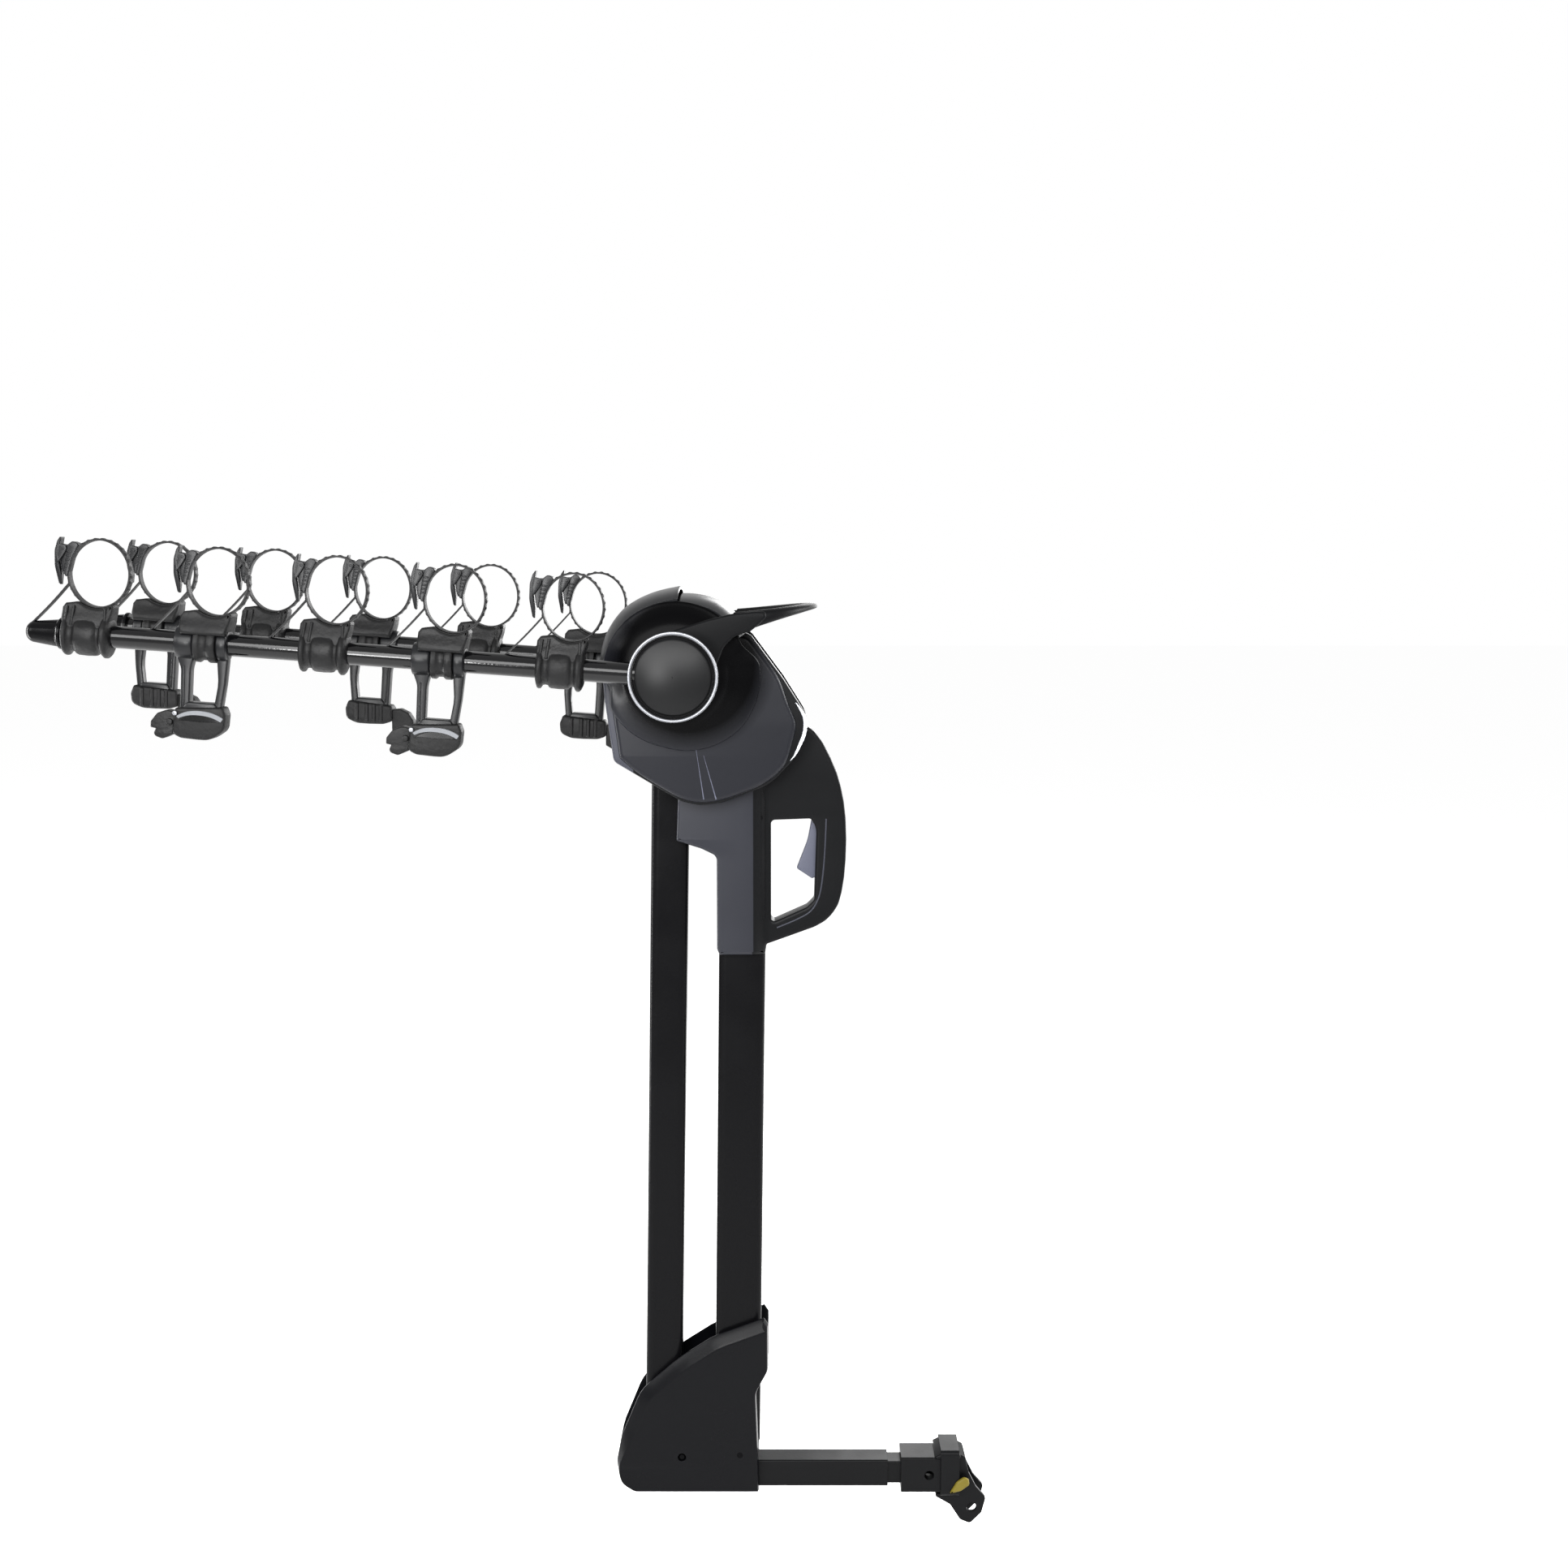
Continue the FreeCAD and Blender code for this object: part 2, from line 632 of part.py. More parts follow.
def knuckle(sign):
    low = min(sign * knuckle_inner, sign * knuckle_outer)
    high = max(sign * knuckle_inner, sign * knuckle_outer)
    body = rod(0, 0, knuckle_r, low, high)
    socket = Part.makeCylinder(arm_r, knuckle_r, point(-arm_root - knuckle_r, sign * arm_side, 0), x_axis)
    socket.rotate(origin, y_axis, arm_tilt)
    axle_end = sign * (knuckle_inner + 6)
    body = body.cut(rod(0, 0, axle_r, min(sign * 100, axle_end), max(sign * 100, axle_end)))
    return on_hub(body.cut(socket))


def hub_ring(sign):
    face = sign * knuckle_outer
    back = face - sign * 0.5
    front = face + sign * (ring_depth - 1.0)
    tube = rod(0, 0, ring_r, min(back, front), max(back, front))
    tube = tube.cut(rod(0, 0, ring_r - ring_wall, -200, 200))
    collar = rod(0, 0, knuckle_r, min(back - sign, face), max(back - sign, face))
    return on_hub(tube.cut(collar))


def hub_cap(sign):
    """Domed cap on the knuckle's outer face."""
    base = sign * knuckle_outer
    sphere_r = (cap_r * cap_r + cap_bulge * cap_bulge) / (2 * cap_bulge)
    centre = base + sign * (cap_bulge - sphere_r)
    dome = Part.makeSphere(sphere_r, point(0, centre, 0))
    bar = rod(0, 0, cap_r, min(base, base + sign * 30), max(base, base + sign * 30))
    return on_hub(dome.common(bar))


def cradle_places(side):
    shift = far_shift if side > 0 else 0
    return [cradle_first + cradle_pitch * i + shift for i in range(cradle_count)]


def has_third(side, index):
    return index in (third_far if side > 0 else third_near)


def cradle(side, index):
    """Rubber saddle on the arm: a ribbed sleeve under a block with a trough for the bicycle's tube."""
    place = cradle_places(side)[index]
    if has_third(side, index):
        profile = [(-13, 14), (-13, 24), (-5, 24), (-3, 21.3), (3, 21.3), (5, 24), (15, 24), (15, 14)]
    else:
        profile = [(-cradle_half, 14), (-cradle_half, 18), (-28, 27), (-23, 27), (-21, 22.5), (-14, 22.5), (-12, 26),
                   (13, 26), (15, 22.5), (19, 22.5), (22, 28), (27, 28), (cradle_half, 20), (cradle_half, 14)]
    corners = [point(x, 0, r) for x, r in profile]
    sleeve = Part.Face(Part.makePolygon(corners + corners[:1])).revolve(origin, x_axis, 360)
    third = has_third(side, index)
    low = third_skirt_low if third else 12.0
    half = third_skirt_half_width if third else cradle_saddle_half_width
    saddle = slab([(-28, low), (-29, cradle_top), (32, cradle_top + 4), (29, low)], [1, 5, 5, 1], -half, half)
    if third:
        saddle = saddle.cut(Part.makeCylinder(collar_r + collar_gap, 100, point(-50, 0, 0), x_axis))
        if side > 0:
            sleeve.rotate(origin, z_axis, 180)
    body = sleeve.fuse(saddle)
    trough = Part.Face(Part.Wire(loop_ellipse(0.0))).extrude(point(0, 80, 0))
    trough.translate(point(0, -40, 0))
    body = body.cut(trough).cut(Part.makeCylinder(arm_r, 100, point(-50, 0, 0), x_axis)).removeSplitter()
    body.translate(point(-place, 0, 0))
    return on_arm(body, side)


def loop_ellipse(inset):
    """Ellipse of the strap loop on the level arm, about its place over the cradle."""
    tall = loop_half_tall - inset
    wide = loop_half_wide - inset
    edge = Part.Ellipse(origin, tall, wide).toShape()
    edge.rotate(origin, z_axis, 90)
    edge.rotate(origin, x_axis, 90)
    edge.translate(point(loop_shift, 0, loop_height))
    return edge


def strap(side, index):
    """Ladder strap closed in a loop over the cradle, with its tail from the loop down to the arm."""
    place = cradle_places(side)[index]
    loop = Part.Face(Part.Wire(loop_ellipse(0.0))).cut(Part.Face(Part.Wire(loop_ellipse(strap_thick))))
    loop = loop.extrude(point(0, strap_width, 0))
    loop.translate(point(0, -strap_width / 2, 0))
    last = index == cradle_count - 1
    high = (loop_shift - 38.4, loop_height - 14.0)
    low = (loop_shift - 84.0, arm_r - (1.9 if last else 0.5))
    run = math.hypot(high[0] - low[0], high[1] - low[1])
    away = ((high[1] - low[1]) / run * tail_thick, -(high[0] - low[0]) / run * tail_thick)
    tail = slab([high, low, (low[0] - away[0], low[1] - away[1]), (high[0] - away[0], high[1] - away[1])],
                0, -tail_width / 2, tail_width / 2)
    tail = tail.cut(Part.makeCylinder(arm_r, 200, point(-150, 0, 0), x_axis))
    inside = Part.Face(Part.Wire(loop_ellipse(0.0))).extrude(point(0, 60, 0))
    inside.translate(point(0, -30, 0))
    tail = tail.cut(inside)
    pieces = []
    for piece in (loop, tail):
        piece.translate(point(-place, 0, 0))
        pieces.append(on_arm(piece, side))
    below = pieces[1].cut(buckle(side, index))
    if last:
        below = below.cut(arm_tip(side))
    return Part.makeCompound([pieces[0], max(below.Solids, key=lambda solid: solid.Volume)])


def on_buckle(shape, side, index):
    """Carries a buckle piece, built about its lever's pivot with the strap running down, to its loop."""
    shape.rotate(origin, y_axis, buckle_lean)
    shape.translate(point(buckle_pivot[0], 0, loop_height + buckle_pivot[1]))
    shape.translate(point(-cradle_places(side)[index], 0, 0))
    return on_arm(shape, side)


def buckle(side, index):
    """Ratchet body on the loop: a back plate with a lug that carries the lever's pin."""
    plate = slab([(5.5, -30), (5.5, 7), (11, 10), (17, 8), (12, -10), (10.5, -38)], [1, 3, 3, 3, 8, 2], -8, 8)
    lug = slab([(-5, -5), (-5, 5), (8, 5), (8, -14)], [4.6, 4.6, 1, 1], -4, 4)
    body = plate.fuse(lug).cut(rod(0, 0, buckle_pin_r, -20, 20))
    pin = rod(0, 0, buckle_pin_r, -8, 8)
    body = body.fuse(pin).removeSplitter()
    body = on_buckle(body, side, index)
    loop = Part.Face(Part.Wire(loop_ellipse(0.0))).extrude(point(0, 60, 0))
    loop.translate(point(-cradle_places(side)[index], -30, 0))
    return body.cut(on_arm(loop, side))


def buckle_lever(side, index):
    """Ratchet lever: two cheeks on the pin and a leaf-shaped finger plate whose tip meets the strap."""
    cheek = slab([(-6.5, 5), (2.4, 4.8), (4.4, 0), (2.6, -6), (-4, -22), (-6.5, -14)], [0, 3, 3, 3, 0, 0], -8, -4.3)
    other = mirrored(cheek)
    plate = slab([(-5.4, 16), (-8.8, 8), (-9.4, -5), (-5.8, -24), (1.2, -45), (4.4, -47), (2.6, -34), (-2.2, -19),
                  (-5.4, -9)], [0.6, 3, 14, 20, 1.5, 0.8, 8, 8, 0], -8, 8)
    lever = plate.fuse(cheek).fuse(other).cut(rod(0, 0, buckle_pin_r + running_gap, -20, 20))
    return on_buckle(lever.removeSplitter(), side, index)


def facing(shape, side, place):
    """Sets a fork piece at its cradle. On the far arm it hangs the other way round, so that its
    strap faces outwards there too."""
    if side > 0:
        shape.rotate(origin, z_axis, 180)
    shape.translate(point(-place, 0, 0))
    return on_arm(shape, side)


def third_frame(side, index):
    """Fork that swivels on the arm: two collars, two legs and the cross bar under them."""
    left = Part.makeCylinder(collar_r, 24, point(-38, 0, 0), x_axis)
    right = Part.makeCylinder(collar_r, 14, point(15.6, 0, 0), x_axis)
    low = -third_reach - third_cross
    inner_left = -29 + third_leg
    left_leg = slab([(-38, 0), (-38, -16), (-29, -34), (-29, low), (inner_left, low), (inner_left, -34), (-14, -20),
                     (-14, 0)], [0, 8, 20, 2, 2, 20, 6, 0], -9, 9)
    right_leg = slab([(15.6, 0), (29.6, 0), (29.6, -20), (28, -50), (23, low), (12, low), (18, -50), (15.6, -24)],
                     [0, 0, 12, 40, 4, 4, 40, 8], -8, 8)
    cross = box(-27, 21, -12, 12, low, -third_reach)
    frame = left.fuse(right).fuse(left_leg).fuse(right_leg).fuse(cross)
    frame = frame.cut(Part.makeCylinder(arm_r + running_gap, 120, point(-60, 0, 0), x_axis)).removeSplitter()
    return facing(frame, side, cradle_places(side)[index])


def third_pad(side, index):
    """Rubber pad under the cross bar, with the strap band on its outer face and its ratchet block."""
    top = -third_reach - third_cross
    low = -third_reach - third_pad_height
    pad = slab([(-36, top), (-36, low + 3), (-24, low), (10, low), (29, low + 13), (31, top)],
               [5, 6, 20, 24, 12, 4], -15, 15)
    band = slab([(-29, top - 3), (-29, top - 16), (23, top - 16), (23, top - 3)], [4, 4, 6, 6], -19, -15)
    block = slab([(-60, top - 6), (-66, top - 20), (-62, low), (-50, low - 2), (-36, low + 5), (-36, top - 3)],
                 [8, 6, 5, 6, 0, 1], -11, 11)
    whole = pad.fuse(band).fuse(block).removeSplitter()
    return facing(whole, side, cradle_places(side)[index])


def group(make, side):
    return Part.makeCompound([make(side, i) for i in range(cradle_count)])


def both_sides(make):
    return Part.makeCompound([make(side, i) for side in (-arm_side, arm_side) for i in range(cradle_count)])


def build():
    pieces = {
        "shank_tube": shank_tube(),
        "shank_insert": shank_insert(),
        "hitch_sleeve": hitch_sleeve(),
        "sleeve_lip": sleeve_lip(),
        "tail_bracket": tail_bracket(),
        "yellow_tab": yellow_tab(),
        "base_frame": base_frame(),
        "base_cover_near": cover_near(),
        "base_cover_far": mirrored(cover_near()),
        "base_pins": base_pins(),
        "rear_bar": rear_bar(),
        "rear_bar_foot": foot_block(rear_bar_width, rear_bar_depth, rear_foot, rear_bar_lean),
        "neck_plates": neck_plates(),
        "grip_housing_near": housing_near(),
        "grip_housing_far": mirrored(housing_near()),
        "housing_screws": housing_screws(),
        "release_trigger": release_trigger(),
        "latch_rod": latch_rod(),
        "front_bar": front_bar(),
        "front_bar_foot": foot_block(front_bar_width, front_bar_depth, front_foot, front_bar_lean),
        "head_frame": head_frame(),
        "head_pins": head_pins(),
        "side_drums": side_drums(),
        "front_shell": front_shell(),
        "rear_shell": rear_shell(),
        "head_spine": head_spine(),
        "lower_cover_near": lower_near(),
        "lower_cover_far": mirrored(lower_near()),
        "fold_lever": fold_lever(),
        "arm_axle": arm_axle(),
        "near_arm": arm_tube(-arm_side),
        "far_arm": arm_tube(arm_side),
        "arm_tips": Part.makeCompound([arm_tip(-arm_side), arm_tip(arm_side)]),
        "arm_knuckles": Part.makeCompound([knuckle(-1), knuckle(1)]),
        "hub_rings": Part.makeCompound([hub_ring(-1), hub_ring(1)]),
        "hub_caps": Part.makeCompound([hub_cap(-1), hub_cap(1)]),
        "cradles": both_sides(cradle),
        "near_straps": group(strap, -arm_side),
        "far_straps": group(strap, arm_side),
        "buckles": both_sides(buckle),
    }
    for name, side in (("near", -arm_side), ("far", arm_side)):
        for index in range(cradle_count):
            label = name + "_" + str(index + 1)
            pieces["buckle_lever_" + label] = buckle_lever(side, index)
            if has_third(side, index):
                pieces["third_cradle_" + label] = third_frame(side, index)
                pieces["third_pad_" + label] = third_pad(side, index)
    return pieces


os.makedirs("parts", exist_ok=True)
for name, shape in build().items():
    shape.exportStep("parts/" + name + ".step")
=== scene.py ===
"""Looks of a hanging hitch rack, laid out as an add-on: every operator builds one piece or one
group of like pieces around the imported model, in metres."""

import json
import math

import bmesh
import bpy
import numpy as np
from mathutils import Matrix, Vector
from mathutils.geometry import tessellate_polygon


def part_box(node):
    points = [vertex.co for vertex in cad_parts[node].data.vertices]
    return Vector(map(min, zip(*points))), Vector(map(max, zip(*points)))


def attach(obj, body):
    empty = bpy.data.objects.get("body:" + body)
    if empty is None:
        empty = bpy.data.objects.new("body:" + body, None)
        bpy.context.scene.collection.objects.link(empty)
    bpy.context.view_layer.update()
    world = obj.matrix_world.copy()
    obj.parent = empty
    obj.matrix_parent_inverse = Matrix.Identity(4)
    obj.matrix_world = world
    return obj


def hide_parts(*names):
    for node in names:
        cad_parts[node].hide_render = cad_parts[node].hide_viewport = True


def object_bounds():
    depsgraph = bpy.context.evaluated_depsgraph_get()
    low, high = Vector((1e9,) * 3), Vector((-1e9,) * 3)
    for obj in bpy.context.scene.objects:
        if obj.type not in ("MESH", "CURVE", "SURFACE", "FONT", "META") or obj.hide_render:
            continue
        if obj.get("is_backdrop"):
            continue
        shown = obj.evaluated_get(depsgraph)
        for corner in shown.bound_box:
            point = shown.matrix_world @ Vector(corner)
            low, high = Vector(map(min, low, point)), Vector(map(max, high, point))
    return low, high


bl_info = {
    "name": "Hanging Hitch Rack",
    "version": (1, 0, 0),
    "blender": (4, 5, 0),
    "location": "View3D > Sidebar > Rack",
    "description": "Builds the moulded, rubber and painted pieces of a hanging hitch rack",
    "category": "Object",
}

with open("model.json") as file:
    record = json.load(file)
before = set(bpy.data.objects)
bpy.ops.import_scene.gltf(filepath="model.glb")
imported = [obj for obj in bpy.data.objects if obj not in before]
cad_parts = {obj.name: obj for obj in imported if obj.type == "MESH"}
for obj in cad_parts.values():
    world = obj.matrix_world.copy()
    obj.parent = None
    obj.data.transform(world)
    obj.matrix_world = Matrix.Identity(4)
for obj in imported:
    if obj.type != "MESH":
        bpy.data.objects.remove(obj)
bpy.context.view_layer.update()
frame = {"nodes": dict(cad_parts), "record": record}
MM = 0.001

# Places on the rack in millimetres; the hub's comes from the frame's joint
JOINTS = {joint["name"]: joint for joint in frame["record"]["behaviour"]["joints"]}
HUB = np.array(JOINTS["arms_fold"]["pos_m"]) / MM
ARM_SIDE = 127.0
ARM_TILT = 4.07
CRADLE_FIRST = {-1: 146.0, 1: 138.0}
CRADLE_PITCH = 152.0
CRADLE_COUNT = 5
CRADLE_PLACES = {side: [first + CRADLE_PITCH * i for i in range(CRADLE_COUNT)]
                 for side, first in CRADLE_FIRST.items()}
THIRD = {-1: (1, 3), 1: (0, 2, 4)}
SIDE_NAMES = {-1: "near", 1: "far"}


# Surfaces. Outlines are lists of (x, z) in millimetres, and their radii go corner by corner.

def ramp(values, start, span):
    """Share that goes from nought at start to one a span further, held at both ends."""
    return np.clip((values - start) / span, 0, 1)


def soft(share):
    """Smooth step of a share between nought and one."""
    return share * share * (3 - 2 * share)


def unit(vectors):
    """Vectors of length one along the last axis."""
    return vectors / np.maximum(np.linalg.norm(vectors, axis=-1, keepdims=True), 1e-9)


def oval(count, half_x, half_y, x=0.0, y=0.0):
    """Points of an ellipse with these half axes about a place."""
    t = np.linspace(0, 2 * math.pi, count, endpoint=False)
    return np.stack([x + half_x * np.cos(t), y + half_y * np.sin(t)], 1)


def rounded(corners, radii, turn_step=7.0):
    """Points of a closed outline whose corners are arcs: each arc touches both of its runs at
    radius times the tangent of half the turn from the corner."""
    corners = np.array(corners, float)
    runs = unit(corners - np.roll(corners, 1, axis=0))
    points = []
    for here, into, out, radius in zip(corners, runs, np.roll(runs, -1, axis=0),
                                       np.broadcast_to(radii, len(corners))):
        turn = math.acos(float(np.clip(into @ out, -1, 1)))
        if radius <= 0 or turn < 0.01:
            points.append(here[None])
            continue
        side = np.sign(into[0] * out[1] - into[1] * out[0])
        spoke = np.array([into[1], -into[0]]) * side * radius
        angles = np.linspace(0, turn, max(2, int(math.degrees(turn) / turn_step) + 1)) * side
        cos, sin = np.cos(angles), np.sin(angles)
        arc = np.stack([spoke[0] * cos - spoke[1] * sin, spoke[0] * sin + spoke[1] * cos], 1)
        points.append(here - into * radius * math.tan(turn / 2) - spoke + arc)
    points = np.concatenate(points)
    ahead = np.roll(points, -1, axis=0)
    area = np.sum(points[:, 0] * ahead[:, 1] - ahead[:, 0] * points[:, 1])
    return points if area > 0 else points[::-1]


def dense(points, step=4.0):
    """The same outline with extra points, so that every run is shorter than twice the step."""
    out = []
    for a, b in zip(points, np.roll(points, -1, axis=0)):
        count = max(1, int(np.linalg.norm(b - a) / step))
        out.append(a + (b - a) * np.linspace(0, 1, count, endpoint=False)[:, None])
    return np.concatenate(out)


def inward(points):
    """Unit inward normal at each point of a counter-clockwise outline: the mean tangent of its
    two runs, turned left, and longer at a corner so that both runs move by the same inset."""
    ahead = unit(np.roll(points, -1, axis=0) - points)
    mean = unit(ahead + np.roll(ahead, 1, axis=0))
    spread = np.clip(np.sum(mean * ahead, axis=1, keepdims=True), 0.5, 1)
    return np.stack([-mean[:, 1], mean[:, 0]], 1) / spread


def edge_steps(thick_from, thick_to, round_from, round_to, count=4):
    """(inset, depth) steps of a slab between two depths, with a quarter round at each edge."""
    span = np.linspace(0, math.pi / 2, count)
    sign = np.sign(thick_to - thick_from)
    first, last = [(0.0, thick_from)], [(0.0, thick_to)]
    if round_from > 0:
        first = zip(round_from * (1 - np.sin(span)), thick_from + sign * round_from * (1 - np.cos(span)))
    if round_to > 0:
        last = zip(round_to * (1 - np.cos(span)), thick_to - sign * round_to * (1 - np.sin(span)))
    return [*first, *last]


def moulded(loops, steps, weights=np.ones(1)):
    """Vertices and faces of a slab across Y: the outline, drawn in by each step's inset, at each
    step's depth. Holes are further loops, which widen as the outline shrinks. weights scales the
    inset at each point of the outline, and its least value scales it round the holes."""
    verts, faces = [], []
    sizes = [len(loop) for loop in loops]
    starts = np.concatenate([[0], np.cumsum(sizes)[:-1]])
    total = sum(sizes)
    shares = [weights[:, None]] + [-weights.min()] * (len(loops) - 1)
    drawn = [inward(loop) * share for loop, share in zip(loops, shares)]
    for inset, depth in steps:
        for loop, draw in zip(loops, drawn):
            flat = loop + draw * inset
            verts.append(np.stack([flat[:, 0], np.full(len(flat), depth), flat[:, 1]], 1))
    for k in range(len(steps) - 1):
        for j, size in enumerate(sizes):
            a = starts[j] + np.arange(size) + k * total
            b = starts[j] + np.roll(np.arange(size), -1) + k * total
            quad = np.stack([a, b, b + total, a + total], 1)
            faces += quad.tolist() if j == 0 else quad[:, ::-1].tolist()
    verts = np.concatenate(verts)
    for first in (0, (len(steps) - 1) * total):
        rings = [[(x, z, 0.0) for x, _, z in verts[first + s:first + s + n]] for s, n in zip(starts, sizes)]
        faces += [[i + first for i in tri] for tri in tessellate_polygon(rings)]
    return verts, faces


def flat_part(corners, radii, y_from, y_to, edge=0.8):
    """Slab between two depths, whose corners and edges are rounded."""
    return moulded([dense(rounded(corners, radii), 3.0)], edge_steps(y_from, y_to, edge, edge, 4))


def sliced(part, places):
    """The same part with its faces cut at these places along X."""
    mesh = bpy.data.meshes.new("sliced")
    mesh.from_pydata(part[0].tolist(), [], part[1])
    work = bmesh.new()
    work.from_mesh(mesh)
    bpy.data.meshes.remove(mesh)
    bmesh.ops.remove_doubles(work, verts=work.verts, dist=0.001)
    for x in places:
        bmesh.ops.bisect_plane(work, geom=work.verts[:] + work.edges[:] + work.faces[:],
                               plane_co=(x, 0, 0), plane_no=(1, 0, 0))
    work.verts.index_update()
    verts = np.array([vert.co for vert in work.verts])
    faces = [[vert.index for vert in face.verts] for face in work.faces]
    work.free()
    return verts, faces


def grid(rings, wrap=False):
    """Faces between rows of points that are rings. wrap joins the last ring to the first; without
    it both ends are closed."""
    rows, columns = rings.shape[:2]
    a = index = np.arange(rows * columns).reshape(rows, columns)
    b = np.roll(index, -1, axis=0)
    if not wrap:
        a, b = a[:-1], b[:-1]
    faces = np.stack([a, b, np.roll(b, -1, axis=1), np.roll(a, -1, axis=1)], -1).reshape(-1, 4).tolist()
    if not wrap:
        faces += [index[0].tolist(), index[-1][::-1].tolist()]
    return rings.reshape(-1, 3), faces


def about_hub(angles, radius, depth):
    """Points with these radii and depths about the hub's axis, at angles above +X in radians, one
    row for each angle."""
    x = HUB[0] + np.cos(angles)[:, None] * radius
    z = HUB[2] + np.sin(angles)[:, None] * radius
    return np.stack([x, np.broadcast_to(depth, x.shape), z], -1)


def turned(profile, count):
    """Profile of (radius, depth) turned a full circle about the hub's axis."""
    radius, depth = np.array(profile, float).T
    return grid(about_hub(np.linspace(0, 2 * math.pi, count, endpoint=False), radius, depth), True)


def carried(path, section, closed=False, scale=None):
    """Tube of a section of (across, depth) carried along a path in the XZ plane: across is
    measured along the path's left-hand normal, depth along Y. scale gives each place two factors."""
    path = np.array(path, float)
    if closed:
        tangent = unit(np.roll(path, -1, axis=0) - np.roll(path, 1, axis=0))
    else:
        tangent = unit(np.gradient(path, axis=0))
    section = np.broadcast_to(section, (len(path), *np.shape(section)[-2:]))
    if scale is not None:
        section = section * np.asarray(scale)[:, None, :]
    x = path[:, None, 0] - tangent[:, None, 1] * section[..., 0]
    z = path[:, None, 1] + tangent[:, None, 0] * section[..., 0]
    return grid(np.stack([x, section[..., 1], z], -1), closed)


def along(profile, count=40):
    """Profile of (place along the arm, radius) turned about the arm's own axis."""
    profile = np.array(profile, float)
    circle = oval(count, 1, 1)
    x = np.broadcast_to(profile[:, :1], (len(profile), count))
    return grid(np.stack([x, profile[:, 1:] * circle[:, 0], profile[:, 1:] * circle[:, 1]], -1))


def smooth_line(points, count):
    """Catmull-Rom curve through points, count samples in all."""
    points = np.array(points, float)
    padded = np.concatenate([[2 * points[0] - points[1]], points, [2 * points[-1] - points[-2]]])
    u = np.linspace(0, len(points) - 1, count)
    k = np.minimum(u.astype(int), len(points) - 2)
    t = (u - k)[:, None]
    a, b, c, d = (padded[k + i] for i in range(4))
    bend, twist = 2 * a - 5 * b + 4 * c - d, 3 * b - a - 3 * c + d
    return 0.5 * (2 * b + (c - a) * t + bend * t ** 2 + twist * t ** 3)


def joined(*parts):
    """Several vertex and face lists as one."""
    verts, faces, start = [], [], 0
    for part_verts, part_faces in parts:
        verts.append(part_verts)
        faces += [[i + start for i in face] for face in part_faces]
        start += len(part_verts)
    return np.concatenate(verts), faces


def thinned(part, share):
    """The same part with every depth times its share."""
    return part[0] * np.stack([np.ones_like(share), share, np.ones_like(share)], 1), part[1]


def leaned(part, degrees, place):
    """The same part leaned about Y, its top towards +X, and carried to a place."""
    x, y, z = part[0].T
    cos, sin = math.cos(math.radians(degrees)), math.sin(math.radians(degrees))
    return np.stack([x * cos + z * sin, y, z * cos - x * sin], 1) + place, part[1]


def on_arm(part, side, place=0.0):
    """Moves a part built on a level arm, at a place along it, to the tilted arm of its side."""
    level = part[0] - [place, 0, 0], part[1]
    return leaned(level, ARM_TILT, [HUB[0], side * ARM_SIDE, HUB[2]])


def turned_round(part):
    """The same part turned half a turn about the upright axis."""
    return part[0] * [-1, -1, 1], part[1]


def mirrored(part):
    """The same part on the other side."""
    return part[0] * [1, -1, 1], [face[::-1] for face in part[1]]


def sided(make):
    """Lets a function that makes the far side's part give either side's."""
    def made(side):
        """The far side's part, or its mirror image."""
        return make() if side > 0 else mirrored(make())
    return made


def piece(name, part, finish, body, replaces=(), sharp=38.0):
    """Makes a mesh object at the origin from a part in millimetres, with its doubles merged and its normals
    outwards, gives it its finish, parents it to its body's empty and hides the nodes it replaces."""
    mesh = bpy.data.meshes.new(name)
    mesh.from_pydata((part[0] * MM).tolist(), [], part[1])
    obj = bpy.data.objects.new(name, mesh)
    bpy.context.scene.collection.objects.link(obj)
    bpy.context.view_layer.objects.active = obj
    bpy.ops.object.select_all(action="DESELECT")
    obj.select_set(True)
    bpy.ops.object.mode_set(mode="EDIT")
    bpy.ops.mesh.select_all(action="SELECT")
    bpy.ops.mesh.remove_doubles(threshold=1e-6)
    bpy.ops.mesh.normals_make_consistent(inside=False)
    bpy.ops.object.mode_set(mode="OBJECT")
    mesh.shade_smooth()
    mesh.set_sharp_from_angle(angle=math.radians(sharp))
    mesh.materials.append(finish_of(finish))
    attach(obj, body)
    if replaces:
        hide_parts(*replaces)
    return obj


def second_finish(obj, finish, x_from):
    """Gives the faces whose centres lie beyond x_from millimetres the second finish."""
    obj.data.materials.append(finish_of(finish))
    for face in obj.data.polygons:
        face.material_index = int(face.center.x / MM > x_from)


# Materials

def add(tree, kind, values, links=(), **settings):
    """A new shader node with these settings, whose sockets get these values and links."""
    node = tree.nodes.new("ShaderNode" + kind)
    for key, value in settings.items():
        setattr(node, key, value)
    for key, value in values.items():
        node.inputs[key].default_value = value
    for key, source in dict(links).items():
        tree.links.new(source, node.inputs[key])
    return node


def shader(name, colour, roughness, specular, metallic=0.0):
    """A new material, its node tree, its Principled shader and its Object coordinates."""
    material = bpy.data.materials.new(name)
    material.use_nodes = True
    tree = material.node_tree
    bsdf = tree.nodes["Principled BSDF"]
    for key, value in (("Base Color", (*colour[:3], 1)), ("Roughness", roughness), ("Metallic", metallic),
                       ("Specular IOR Level", specular)):
        bsdf.inputs[key].default_value = value
    return material, tree, bsdf, tree.nodes.new("ShaderNodeTexCoord").outputs["Object"]


